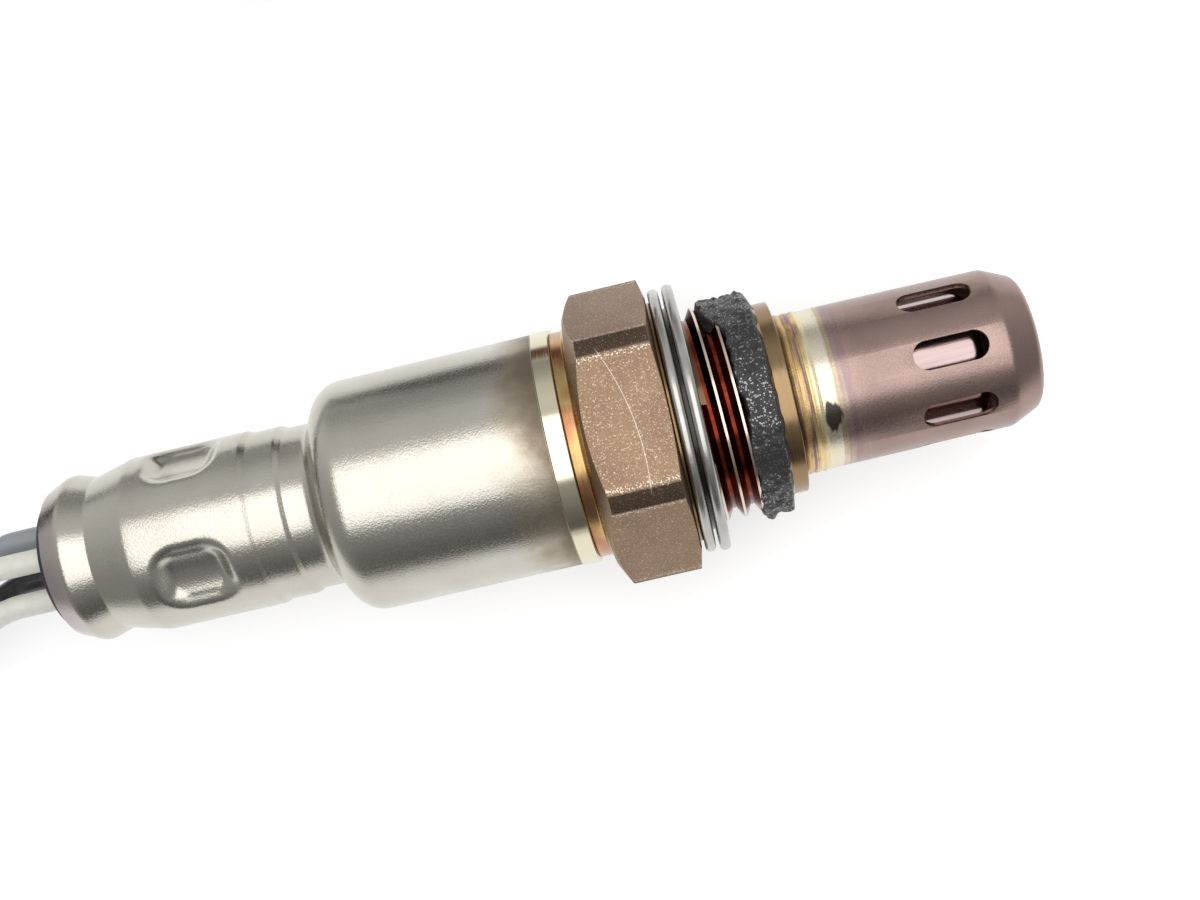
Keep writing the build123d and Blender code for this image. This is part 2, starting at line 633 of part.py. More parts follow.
def cord_tube(name, diameter, points):
    """A round cord along straight runs joined by tangent arcs. Prints the arc radii, and
    the volume beside section times length."""
    ends = [Vector(*p) for p in points]
    runs = [b - a for a, b in zip(ends, ends[1:])]
    radii = [
        ARC_SHARE * min(a.length, b.length) / tan(radians(a.get_angle(b)) / 2)
        for a, b in zip(runs, runs[1:])
    ]
    path = FilletPolyline(*points, radius=radii)
    plane = Plane(origin=path @ 0, z_dir=path % 0)
    tube = sweep(plane * Circle(diameter / 2), path=path)
    expected = pi * diameter**2 / 4 * path.length
    print(name, "length", round(path.length, 1), "radii", [round(r, 1) for r in radii])
    print(name, "volume", round(tube.volume, 2), "expected", round(expected, 2))
    return tube


def wire_points(index):
    """The route of one wire: straight out of the grommet, down to the table, and into its
    corner of the bundle in the mouth of the sleeve."""
    y, z = wire_place(index)
    bundle = WIRE_D * (1 + FIT) / 2
    side_y, side_z = [(1, 1), (1, -1), (-1, -1), (-1, 1)][index]
    mouth = (MOUTH_X, LEAD_Y + side_y * bundle, SLEEVE_Z + side_z * bundle)
    return [
        (BARREL_REAR + BARREL_WALL * 2, y, z),
        (-62.0, y, z),
        (-76.5, *mouth[1:]),
        mouth,
    ]


def sleeve_coil():
    """Outer shape of the coiled sleeve, with the straight stretches that enter and leave."""
    height = SLEEVE_D * COIL_LAYERS
    section_plane = Plane(
        origin=(COIL_X + COIL_MIDDLE_D / 2, COIL_Y, FLOOR_Z + height / 2),
        x_dir=(1, 0, 0),
        z_dir=(0, -1, 0),
    )
    section = RectangleRounded(
        COIL_SECTION_WIDTH, height - 2 * COIL_INSET, SLEEVE_D * ARC_SHARE
    )
    torus = revolve(section_plane * section, Axis((COIL_X, COIL_Y, 0), (0, 0, 1)), 360)
    entry = Pos(0, LEAD_Y, SLEEVE_Z) * ring(MOUTH_X, COIL_X, SLEEVE_D / 2)
    leave = Pos(0, EXIT_Y, EXIT_Z) * ring(COIL_EXIT_X, COIL_X, SLEEVE_D / 2)
    return torus + entry + leave


def sleeve_cap():
    """Shrunk ring round the mouth of the sleeve, where the wires go in."""
    inner_r = SLEEVE_D / 2 + FIT
    front = MOUTH_X + CAP_OVERHANG
    return Pos(0, LEAD_Y, SLEEVE_Z) * ring(front, front - CAP_LENGTH, inner_r + CAP_WALL, inner_r)


def tail_points():
    """The route of the sleeve from the coil to the connector's boot."""
    return [
        (COIL_EXIT_X, EXIT_Y, EXIT_Z),
        (-78.0, EXIT_Y, EXIT_Z),
        (-57.5, EXIT_Y, CONNECTOR_Z),
        (CONNECTOR_X + BOOT_BORE_DEPTH, EXIT_Y, CONNECTOR_Z),
    ]


def connector_boot():
    """Rubber boot between the sleeve and the housing, with its plug inside the housing."""
    outside = turned(
        (CONNECTOR_X, 0),
        (CONNECTOR_X, BOOT_MOUTH_D / 2),
        (BOOT_FRONT, BOOT_ROOT_D / 2),
        (BOOT_FRONT, 0),
        radii=[0, CAP_WALL, 0, 0],
    )
    bore = ring(CONNECTOR_X - OVERRUN, CONNECTOR_X + BOOT_BORE_DEPTH, SLEEVE_D / 2 + FIT)
    plug = block(
        BOOT_FRONT, BOOT_FRONT + BOOT_PLUG_LENGTH, SEAL_WIDTH - 2 * FIT,
        SEAL_HEIGHT - 2 * FIT, corner=SEAL_CORNER,
    )
    return Pos(0, EXIT_Y, CONNECTOR_Z) * (outside - bore + plug)


def cavity_places():
    """The y and z of the four contact cavities."""
    return [
        (EXIT_Y + CAVITY_SPACING_Y / 2 * sy, CONNECTOR_Z + CAVITY_SPACING_Z / 2 * sz)
        for sy in (-1, 1)
        for sz in (-1, 1)
    ]


def latch():
    """Sprung lever on top of the housing, rooted at its rear and hooked at its front."""
    top = CONNECTOR_Z + CONNECTOR_HEIGHT / 2
    post = block(
        BOOT_FRONT, BOOT_FRONT + LATCH_POST_LENGTH, LATCH_WIDTH, 2 * LATCH_GAP,
        EXIT_Y, top,
    )
    lever_z = top + LATCH_GAP + LATCH_THICKNESS / 2
    lever = block(
        BOOT_FRONT, BOOT_FRONT + LATCH_LENGTH, LATCH_WIDTH, LATCH_THICKNESS, EXIT_Y, lever_z
    )
    hook = block(
        BOOT_FRONT + LATCH_LENGTH - LATCH_THICKNESS, BOOT_FRONT + LATCH_LENGTH,
        LATCH_WIDTH, LATCH_HOOK, EXIT_Y, lever_z - (LATCH_THICKNESS + LATCH_HOOK) / 2,
    )
    return post + lever + hook


def lock_slot(extra):
    """The space of the contact lock in the side of the housing."""
    y = EXIT_Y - CONNECTOR_WIDTH / 2 + (LOCK_DEPTH - OVERRUN) / 2
    x = BOOT_FRONT + CONNECTOR_BODY_LENGTH / 2
    return block(
        x - LOCK_LENGTH / 2 - extra, x + LOCK_LENGTH / 2 + extra,
        LOCK_DEPTH + OVERRUN, LOCK_HEIGHT + 2 * extra, y, CONNECTOR_Z,
    )


def connector_housing():
    """Moulded four-way housing: body, nose, seal pocket, contact cavities and latch."""
    body = block(
        BOOT_FRONT, BODY_FRONT, CONNECTOR_WIDTH, CONNECTOR_HEIGHT,
        EXIT_Y, CONNECTOR_Z, CONNECTOR_CORNER,
    )
    nose = block(
        BODY_FRONT, NOSE_FRONT, CONNECTOR_NOSE_WIDTH, CONNECTOR_NOSE_HEIGHT,
        EXIT_Y, CONNECTOR_Z, NOSE_CORNER,
    )
    pocket = block(
        BOOT_FRONT - OVERRUN, BOOT_FRONT + SEAL_POCKET_LENGTH, SEAL_WIDTH, SEAL_HEIGHT,
        EXIT_Y, CONNECTOR_Z, SEAL_CORNER,
    )
    housing = body + nose + latch() - pocket - lock_slot(FIT)
    for y, z in cavity_places():
        housing -= block(BOOT_FRONT, NOSE_FRONT + OVERRUN, CAVITY_SIZE, CAVITY_SIZE, y, z)
    return housing


def contact_lock():
    """Flat clip that is pushed into the side of the housing."""
    flush = block(
        BOOT_FRONT, BODY_FRONT, CONNECTOR_WIDTH, CONNECTOR_HEIGHT, EXIT_Y, CONNECTOR_Z
    )
    return lock_slot(0) & flush


def wire_seal():
    """Silicone block in the rear of the housing, between the boot and the contacts."""
    return block(
        BOOT_FRONT + BOOT_PLUG_LENGTH + EASY, BOOT_FRONT + SEAL_POCKET_LENGTH - EASY,
        SEAL_WIDTH - 2 * FIT, SEAL_HEIGHT - 2 * FIT, EXIT_Y, CONNECTOR_Z, SEAL_CORNER,
    )


def ring_seal():
    """Ribbed silicone seal round the root of the nose."""
    seal = None
    ribs = [(0, RING_SEAL_LENGTH, RING_SEAL_THICKNESS)]
    rib = RING_SEAL_LENGTH / 4
    ribs += [(rib / 2 + 2 * rib * k, rib * 3 / 2 + 2 * rib * k, RING_SEAL_THICKNESS + RING_SEAL_RIB)
             for k in range(2)]
    for start, end, thickness in ribs:
        band = block(
            BODY_FRONT + EASY + start, BODY_FRONT + EASY + end,
            CONNECTOR_NOSE_WIDTH + 2 * thickness, CONNECTOR_NOSE_HEIGHT + 2 * thickness,
            EXIT_Y, CONNECTOR_Z, NOSE_CORNER + thickness,
        )
        seal = band if seal is None else seal + band
    return seal - block(
        BODY_FRONT, NOSE_FRONT, CONNECTOR_NOSE_WIDTH + 2 * FIT,
        CONNECTOR_NOSE_HEIGHT + 2 * FIT, EXIT_Y, CONNECTOR_Z, NOSE_CORNER,
    )


def contact(y, z):
    """Box contact in one cavity, with a square mouth and a narrower crimped tail."""
    front = NOSE_FRONT - CONTACT_INSET
    box = block(front - CONTACT_LENGTH, front, CONTACT_SIZE, CONTACT_SIZE, y, z)
    hole = block(
        front - CONTACT_LENGTH / 2, front + OVERRUN, CONTACT_HOLE, CONTACT_HOLE, y, z
    )
    tail_rear = BOOT_FRONT + SEAL_POCKET_LENGTH - EASY
    tail = Pos(0, y, z) * ring(front - CONTACT_LENGTH, tail_rear, WIRE_D / 2)
    return box - hole + tail


def packing():
    """The stacked pieces that hold and seal the element in the shell."""
    return {
        "seat_washer": ring(-SEAT_DEPTH, WASHER_REAR, PACK_R, ELEMENT_ROOT_D / 2 + EASY),
        "powder_seal": powder_seal(),
        "ceramic_bush": ring(POWDER_REAR, BUSH_REAR, PACK_R, ELEMENT_REAR_D / 2 + EASY),
        "crimp_ring": ring(
            BUSH_REAR, BUSH_REAR - CRIMP_RING_THICKNESS, PACK_R, REAR_BORE_R - 2 * LIP_REACH
        ),
    }


def wires():
    """The four wires, by name, in order round the grommet from the top one."""
    names = ["wire_white_b", "wire_grey", "wire_black", "wire_white_a"]
    return {n: cord_tube(n, WIRE_D, wire_points(k)) for k, n in enumerate(names)}


def sensor():
    """All pieces by name."""
    pieces = {
        "metal_shell": metal_shell(),
        "sealing_gasket": sealing_gasket(),
        "outer_shield": outer_shield(),
        "inner_shield": inner_shield(),
        "sensing_element": sensing_element(),
        "heater_rod": heater_rod(),
        **packing(),
        "signal_terminal": signal_terminal(),
        "ground_terminal": ground_terminal(),
        "heater_terminal_a": heater_terminal(3),
        "heater_terminal_b": heater_terminal(0),
        "contact_holder": contact_holder(),
        "spring_sleeve": spring_sleeve(),
        "outer_casing": outer_casing(),
        "wire_guide": wire_guide(),
        "grommet": grommet(),
        **wires(),
        "sleeve_cap": sleeve_cap(),
        "sleeve_coil": sleeve_coil(),
        "sleeve_tail": cord_tube("sleeve_tail", SLEEVE_D, tail_points()),
        "connector_boot": connector_boot(),
        "connector_housing": connector_housing(),
        "wire_seal": wire_seal(),
        "ring_seal": ring_seal(),
        "contact_lock": contact_lock(),
    }
    for number, (y, z) in enumerate(cavity_places(), 1):
        pieces[f"contact_{number}"] = contact(y, z)
    return pieces


os.makedirs("parts", exist_ok=True)
for name, solid in sensor().items():
    export_step(solid, f"parts/{name}.step")
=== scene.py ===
from math import atan2, ceil, cos, pi, radians, sin, tan

import bpy
from bpy.props import FloatProperty, FloatVectorProperty, PointerProperty
from mathutils import Matrix, Vector, noise


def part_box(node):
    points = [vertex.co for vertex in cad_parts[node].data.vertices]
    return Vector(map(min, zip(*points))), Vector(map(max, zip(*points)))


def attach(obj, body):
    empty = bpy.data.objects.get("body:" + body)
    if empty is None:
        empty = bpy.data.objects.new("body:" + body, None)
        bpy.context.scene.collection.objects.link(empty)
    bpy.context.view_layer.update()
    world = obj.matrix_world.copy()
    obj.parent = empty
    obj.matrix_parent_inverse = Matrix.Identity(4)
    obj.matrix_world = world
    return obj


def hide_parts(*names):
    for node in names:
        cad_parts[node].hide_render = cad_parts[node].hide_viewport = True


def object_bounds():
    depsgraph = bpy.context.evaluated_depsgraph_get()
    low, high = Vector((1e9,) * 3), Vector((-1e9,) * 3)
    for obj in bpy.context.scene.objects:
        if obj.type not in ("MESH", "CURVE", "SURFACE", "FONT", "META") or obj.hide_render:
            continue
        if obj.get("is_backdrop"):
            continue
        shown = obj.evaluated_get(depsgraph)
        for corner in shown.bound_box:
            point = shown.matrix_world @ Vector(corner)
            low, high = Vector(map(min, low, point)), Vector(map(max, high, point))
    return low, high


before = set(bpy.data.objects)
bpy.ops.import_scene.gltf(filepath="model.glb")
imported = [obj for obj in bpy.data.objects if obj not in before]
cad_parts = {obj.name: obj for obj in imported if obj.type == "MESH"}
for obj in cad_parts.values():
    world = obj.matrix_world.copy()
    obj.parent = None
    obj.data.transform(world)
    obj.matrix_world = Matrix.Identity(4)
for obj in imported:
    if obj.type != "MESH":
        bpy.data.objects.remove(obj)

# A four-wire heated oxygen sensor, dressed over its solids. X runs along the sensor towards the
# probe tip, the origin is on the axis at the front of the sealing gasket, and Z is up.
# Sizes are in millimetres unless a property says otherwise, and meshes are in metres.

bl_info = {
    "name": "Oxygen Sensor",
    "version": (1, 0, 0),
    "blender": (4, 5, 0),
    "location": "View3D > Sidebar > Sensor",
    "description": "Models and finishes a four-wire oxygen sensor and its coiled lead",
    "category": "Add Mesh",
}

CAD_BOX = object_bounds()
MM = 0.001

# How finely round forms are made
TURN_STEPS = 256
ARC_STEP = radians(9)
SHARP = radians(32)
HEX_SHARP = radians(20)  # turns sharper than this are softened on the hexagon
SLOT_SHARP = radians(50)  # the same on the gas slots
MOULDING_SHARP = radians(30)  # the same on the plug's mouldings
MOULDING_FLAT = radians(1)  # faces of a moulding that turn less than this become one
SLOT_VERTICES = 64
HOLE_VERTICES = 48
CORD_STEPS = 16  # along a cord, between its control points
CORD_ROUNDNESS = 8  # bevel resolution round a cord
MERGE = 0.0005  # vertices closer than this become one
CLEAR = 0.02  # gap left between pieces that only touch
OVERRUN = 1.0  # how far a cutter reaches past what it cuts

# Ends of the main pieces along the axis, from the frame
SHELL_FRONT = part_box("metal_shell")[1].x / MM
SHELL_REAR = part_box("metal_shell")[0].x / MM
CASING_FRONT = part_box("outer_casing")[1].x / MM
CASING_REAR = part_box("outer_casing")[0].x / MM
GASKET_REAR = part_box("sealing_gasket")[0].x / MM
GASKET_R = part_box("sealing_gasket")[1].z / MM
SHIELD_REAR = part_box("outer_shield")[0].x / MM
SHIELD_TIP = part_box("outer_shield")[1].x / MM
INNER_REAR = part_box("inner_shield")[0].x / MM
INNER_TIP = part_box("inner_shield")[1].x / MM
GROMMET_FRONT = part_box("grommet")[1].x / MM
GROMMET_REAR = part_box("grommet")[0].x / MM
FLOOR_Z = CAD_BOX[0].z / MM

# Metal shell
THREAD_FRONT = 6.0
PILOT_R = 8.0
PILOT_FRONT = 7.2
PILOT_EDGE = 0.1
SPIGOT_R = 6.17
SPIGOT_BORE_R = 5.22
SPIGOT_EDGE = 0.15
SEAT_DEPTH = 3.0
REAR_BORE_R = 7.6
LIP_R = 8.29
LIP_BORE_R = 6.5
LIP_LENGTH = 0.6
TAIL_R = 9.29
TAIL_LENGTH = 4.4
COLLAR_R = 9.52
COLLAR_FLARE = 0.35
COLLAR_BEND = 0.2
COLLAR_EDGE = 0.1
SEAT_COLLAR_R = 10.1
HEX_LENGTH = 7.0
HEX_REAR = -9.35
HEX_CORNER_R = 12.3
HEX_FACE_R = 10.5
HEX_REAR_CHAMFER = 0.9
HEX_FRONT_CHAMFER = 0.4
HEX_EDGE = 0.16
HEX_BORE_R = 8.5
SCRATCH_MIDDLE = (-26.84, -3.2, 0.0)  # of the arc that the scratch on the top flat follows
SCRATCH_R = 21.86
SCRATCH_WIDTH = 0.07
THREAD_ROOT_R = 8.03
THREAD_CREST = 0.19
THREAD_ROOT = 0.28
THREAD_START = -1.0
THREAD_TURNS = 6
THREAD_CHAMFER = 0.8

# Casing, as lengths behind its front edge and radii
CASING_R = 9.775
CASING_WALL = 0.45
BEAD_LENGTH = 1.55
BEAD_HEIGHT = 0.1
BEAD_EDGE = 0.08
SHOULDER = 19.6
SHOULDER_RADIUS = 2.6
SHOULDER_FOOT = 0.9
NECK_FRONT = 21.1
NECK_REAR = 23.3
NECK_R = 6.88
STEP_BEND = 0.5  # rounding of the steps between neck, band and tube
BAND_FRONT = 23.8
BAND_REAR = 26.2
BAND_R = 7.17
TUBE_FRONT = 26.7
TUBE_REAR = 36.6
TUBE_R = 7.4
TUBE_END_RADIUS = 1.5
GROOVE = 40.0
GROOVE_R = 6.52
GROOVE_RADIUS = 0.5
RIM = 42.0
RIM_R = 7.15
RIM_RADIUS = 1.0
RIM_END_R = 6.3
RIM_TINT_X = -52.0
DIMPLE_X = -42.5
DIMPLE_COUNT = 4
DIMPLE_ANGLE = radians(33)  # from the top, towards -Y
DIMPLE_ZONE = 3.9  # half length of the stretch that holds them
DIMPLE_HALF_LENGTH = 1.8  # of the floor
DIMPLE_HALF_WIDTH = 1.85
DIMPLE_CORNER = 0.9
DIMPLE_BOWL = 0.3  # how much deeper the floor is along its middle
DIMPLE_SLOPE = 1.7
FINE_STEP = 0.16
POCKET_REAR = -46.85  # end of the pockets that take the terminals
GROMMET_DOME = ((0.5, 0.1), (0.2, 0.35), (0.05, 0.7), (0.0, 1.1))  # lengths in and down

# Shields
SHIELD_R = 6.65
SHIELD_TAPER = 0.1
SHIELD_WALL = 0.45
DOME_LENGTH = 2.5
DOME_CROWN = 0.4
DOME_END_R = 5.4
DOME_CORNER = 1.0
DOME_SHOULDER = 1.2
DOME_INNER_BENDS = (0.6, 0.5)  # at the shoulder and the corner
WELD_RINGS = 3
WELD_RING_LENGTH = 0.7
WELD_RING_HEIGHT = 0.1
WELD_RING_CROWN = 0.3
WELD_RING_FOOT = 0.1
SLOT_COUNT = 8
SLOT_X = 20.0
SLOT_LENGTH = 6.0
INNER_R = 5.19
INNER_WALL = 0.35
INNER_FLANGE = 0.4
INNER_FLANGE_R = SPIGOT_R - 0.1
INNER_END_RADIUS = 1.2
INNER_HOLE_R = 1.0
INNER_HOLE_COUNT = 6
INNER_HOLE_X = 14.0
SLOT_EDGE = 0.12
SOOT_PLACE = (10.0, -3.0, 6.0)

# Gasket
GASKET_BORE_R = 8.06
GASKET_REAR_R = 11.1
GASKET_FOLD_R = 9.36
GASKET_FOLD_GAP = 0.3
GASKET_EDGE = 0.4
GASKET_BEND = 1.02
GASKET_UNSHADED_DEPTH = 0.4  # how far in from the rims the gap's painted shade stays off

# Anti-seize compound: a lumpy band over the front of the thread
COMPOUND_REAR = 3.0
COMPOUND_REACH = 1.7  # how much further back it lies on the +Y side
COMPOUND_FRONT = 5.95
COMPOUND_BORE_R = 8.1
COMPOUND_STEP = 0.09
FLAKE = 0.11  # width of a metal flake, coarser than a real one so that it shows

# Wires and sleeve
WIRE_COUNT = 4
WIRE_CIRCLE_R = 2.8
WIRE_HOLE_R = 1.03
POCKET_R = 1.41
WIRE_ANGLE = 11.0  # in degrees
WIRE_START = -46.05
WIRE_STRAIGHT = -57.0
WIRE_BEND = -62.0
WIRE_LANDING = -76.5
MOUTH_X = -89.5
LEAD_Y = -7.0
SLEEVE_Z = -8.0
BUNDLE = 1.03  # how far each wire lies from the middle of the sleeve, in Y and Z
COIL_X = -120.0
COIL_Y = 27.0
COIL_R = 34.0
COIL_TURNS = 1.5
COIL_POINTS = 16  # control points in each turn
BRAID_BUNDLES = 14
BRAID_ROWS = 160
COIL_RISE = 6.5
COIL_CLIMB = (0.55, 0.86)  # where the sleeve climbs on itself, in turns
SLEEVE_TAIL = ((-97.0, -1.5), (-78.0, -1.5), (-57.5, -5.25), (-38.0, -5.25))  # x and z

# Camera, light and floor; the softbox is in metres
CAMERA_PLACE = (-2.33, -11.77, 123.23)
CAMERA_TARGET = (-8.80, -0.85, 0.0)
CAMERA_UP = (0.2258, 0.9713, 0.0743)
CAMERA_LENS = 44.65
CAMERA_CLIP = 0.01  # in metres
SENSOR_WIDTH = 36.0
FLOOR_SIZE = 3000.0
SOFTBOX_PLACE = (0.0, -0.04, 0.60)
SOFTBOX_SIZE = (0.70, 0.70)
SOFTBOX_RADIANCE = 1.75
GLOW = 0.5  # strength of the painted light that the card gives off round the sensor
GLOW_PLACE = (-9.4, 0.2, 0.0)  # in the middle of the view
GLOW_EDGE = (72.0, 230.0)  # where the card's glow begins and ends to fade
ROOM_TONES = (  # from the -Y side to the +Y side
    (0.0, "#5c5c5d"), (0.03, "#707070"), (0.07, "#848484"), (0.14, "#989898"),
    (0.5, "#bcbcbc"), (0.85, "#e4e4e4"), (0.93, "#d4d4d4"), (0.985, "#a8a8a8"),
    (1.0, "#9a9a9a"),
)


def linear(code):
    """Linear colour with alpha, from an sRGB hex code."""
    parts = [int(code[k:k + 2], 16) / 255 for k in (1, 3, 5)]
    bright = [c / 12.92 if c <= 0.04045 else ((c + 0.055) / 1.055) ** 2.4 for c in parts]
    return (*bright, 1.0)


def size(name, description, default):
    """A length property whose default is given in millimetres."""
    return FloatProperty(
        name=name, description=description, default=default * MM, min=0.0,
        unit="LENGTH", subtype="DISTANCE", precision=5,
    )


def colour(name, description, code):
    """A colour property whose default is an sRGB hex code."""
    return FloatVectorProperty(
        name=name, description=description, default=linear(code)[:3],
        size=3, min=0.0, max=1.0, subtype="COLOR",
    )


class SensorSizes(bpy.types.PropertyGroup):
    """Sizes that a user may change."""

    hexagon: size("Hexagon", "Width across the flats", 22.0)
    thread: size("Thread", "Crest diameter of the thread", 17.9)
    pitch: size("Pitch", "Distance from one thread to the next", 1.5)
    slot: size("Slot width", "Width of the gas slots in the outer shield", 2.4)
    dimple: size("Dimple depth", "How deep the casing is crimped on the wire guide", 0.85)
    compound: size("Compound", "Thickness of the compound over the thread crests", 0.16)
    wire: size("Wire", "Diameter of each wire", 2.0)
    sleeve: size("Sleeve", "Diameter of the woven sleeve", 6.5)


class SensorColours(bpy.types.PropertyGroup):
    """Colours that a user may change."""

    steel: colour("Casing", "Clean drawn stainless steel", "#c6c3b9")
    hexagon: colour("Hexagon", "Heat-tinted hexagon", "#967f66")
    shield: colour("Shield", "Heat-tinted probe shield", "#a58d84")
    compound: colour("Compound", "Anti-seize compound", "#3d3c3d")
    wire_grey: colour("Grey wire", "Grey insulation", "#8f9499")
    wire_white: colour("White wires", "White insulation", "#dedbd2")
    wire_black: colour("Black wire", "Black insulation", "#2a2a2c")
    sleeve: colour("Sleeve", "Woven sleeve", "#26262a")


def deselect():
    """Leaves edit mode and clears the selection."""
    if bpy.context.mode != "OBJECT":
        bpy.ops.object.mode_set(mode="OBJECT")
    bpy.ops.object.select_all(action="DESELECT")


def activate(piece):
    """Selects one piece only and makes it the active one."""
    deselect()
    piece.select_set(True)
    bpy.context.view_layer.objects.active = piece


def rounded(corners):
    """Points of a closed outline whose corners (x, radius from the axis, rounding) become arcs."""
    points = []
    for k, (x, r, rounding) in enumerate(corners):
        here = Vector((x, r))
        before = (Vector(corners[k - 1][:2]) - here).normalized()
        after = (Vector(corners[(k + 1) % len(corners)][:2]) - here).normalized()
        if not rounding:
            points.append(here)
            continue
        half = before.angle(after) / 2
        centre = here + (before + after).normalized() * rounding / sin(half)
        start = here + before * rounding / tan(half) - centre
        turn = pi - 2 * half
        if before.x * after.y - before.y * after.x > 0:
            turn = -turn
        steps = max(2, ceil(abs(turn) / ARC_STEP))
        for step in range(steps + 1):
            points.append(centre + Matrix.Rotation(turn * step / steps, 2) @ start)
    return points


def chain(name, points):
    """A mesh of one open line, extruded vertex by vertex along points (x, radius)."""
    deselect()
    bpy.ops.mesh.primitive_plane_add(size=MM, enter_editmode=True)
    bpy.ops.mesh.merge(type="CENTER")
    here = Vector((0, 0, 0))
    for k, (x, r) in enumerate(points):
        there = Vector((x, 0, r)) * MM
        if k:
            bpy.ops.mesh.extrude_region_move(TRANSFORM_OT_translate={"value": there - here})
        else:
            bpy.ops.transform.translate(value=there)
        here = there
    line = bpy.context.object
    line.name = name
    return line


def tidy_mesh():
    """Merges doubles and turns the faces outwards, in edit mode."""
    bpy.ops.mesh.select_all(action="SELECT")
    bpy.ops.mesh.remove_doubles(threshold=MERGE * MM)
    bpy.ops.mesh.normals_make_consistent(inside=False)
    bpy.ops.object.mode_set(mode="OBJECT")


def turned(name, points, closed=True, steps=TURN_STEPS):
    """A turned piece: its half section spun about the sensor's axis."""
    line = list(points) + ([points[0]] if closed else [])
    piece = chain(name, line)
    bpy.ops.mesh.select_all(action="SELECT")
    bpy.ops.mesh.spin(steps=steps, angle=2 * pi, center=(0, 0, 0), axis=(1, 0, 0))
    tidy_mesh()
    return piece


def cut(piece, tool, operation="DIFFERENCE"):
    """Cuts a piece with a tool, or keeps what they share, and removes the tool."""
    activate(piece)
    modifier = piece.modifiers.new("cut", "BOOLEAN")
    modifier.object = tool
    modifier.operation = operation
    modifier.solver = "EXACT"
    bpy.ops.object.modifier_apply(modifier=modifier.name)
    bpy.data.objects.remove(tool)


def soften(piece, width, angle=SHARP, segments=3):
    """Breaks the sharp edges of a piece."""
    activate(piece)
    modifier = piece.modifiers.new("edges", "BEVEL")
    modifier.width = width * MM
    modifier.segments = segments
    modifier.limit_method = "ANGLE"
    modifier.angle_limit = angle
    modifier.use_clamp_overlap = True
    bpy.ops.object.modifier_apply(modifier=modifier.name)


def dress(piece, material, slot, *nodes):
    """Shades a finished piece, gives it its material and lets it stand for its CAD nodes."""
    activate(piece)
    if piece.type == "MESH":
        bpy.ops.object.shade_smooth_by_angle(angle=SHARP)
    piece.data.materials.clear()
    piece.data.materials.append(material)
    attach(piece, "root")
    if nodes:
        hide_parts(*nodes)
    return piece


def stretch(start, end, radius, step=FINE_STEP):
    """Evenly spaced points of a straight stretch of an outline."""
    count = ceil(abs(end - start) / step)
    return [Vector((start + (end - start) * k / count, radius)) for k in range(count + 1)]


def smooth(value):
    """Eases a share from 0 to 1."""
    share = min(max(value, 0.0), 1.0)
    return share * share * (3 - 2 * share)


def add(tree, kind, inputs=None, out=0, stops=(), **settings):
    """Adds one node and gives one of its outputs, or the node itself if out is None. Inputs
    are values or outputs of other nodes, and stops are the places and colours of a ramp."""
    node = tree.nodes.new("ShaderNode" + kind)
    for name, value in settings.items():
        setattr(node, name, value)
    for name, value in (inputs or {}).items():
        if isinstance(value, bpy.types.NodeSocket):
            tree.links.new(value, node.inputs[name])
        else:
            node.inputs[name].default_value = value
    for k, (place, code) in enumerate(stops):
        ramp = node.color_ramp.elements
        stop = ramp[k] if k < len(ramp) else ramp.new(place)
        stop.position = place
        stop.color = linear(code)
    return node if out is None else node.outputs[out]


class Finish:
    """A material being made: its node tree, its shader, and a point's place in millimetres."""

    def __init__(self, name, metallic=0.0, **fixed):
        self.material = bpy.data.materials.new(name)
        self.material.use_nodes = True
        self.tree = self.material.node_tree
        self.tree.nodes.clear()
        output = self.add("OutputMaterial", out=None)
        self.shader = self.add("BsdfPrincipled", {"Metallic": metallic}, out=None)
        self.set(**fixed)
        self.tree.links.new(self.shader.outputs[0], output.inputs["Surface"])
        place = self.add("TexCoord", out="Object")
        self.place = self.add("VectorMath", {0: place, "Scale": 1 / MM}, operation="SCALE")
        axes = self.add("SeparateXYZ", {0: self.place}, out=None).outputs
        self.x, self.y, self.z = axes["X"], axes["Y"], axes["Z"]

    def add(self, kind, inputs=None, out=0, stops=(), **settings):
        """Adds a node to this material."""
        return add(self.tree, kind, inputs, out, stops, **settings)

    def set(self, **sockets):
        """Links or sets sockets of the shader, whose names are written with underscores."""
        for name, value in sockets.items():
            socket = self.shader.inputs[name.replace("_", " ")]
            if isinstance(value, bpy.types.NodeSocket):
                self.tree.links.new(value, socket)
            else:
                socket.default_value = value
        return self


def axis_radius(finish):
    """How far a point lies from the sensor's axis, in millimetres."""
    flat = finish.add("CombineXYZ", {1: finish.y, 2: finish.z})
    return finish.add("VectorMath", {0: flat}, out="Value", operation="LENGTH")


def turned_lines(finish, pitch, wander=0.02):
    """Noise that runs round the axis, as tool marks and drawing lines do, drawn coarser
    than on real steel, so that it shows."""
    squash = finish.add("Mapping", {0: finish.place, "Scale": (1.0, wander, wander)})
    return finish.add("TexNoise", {"Vector": squash, "Scale": 1 / pitch, "Detail": 3.0})


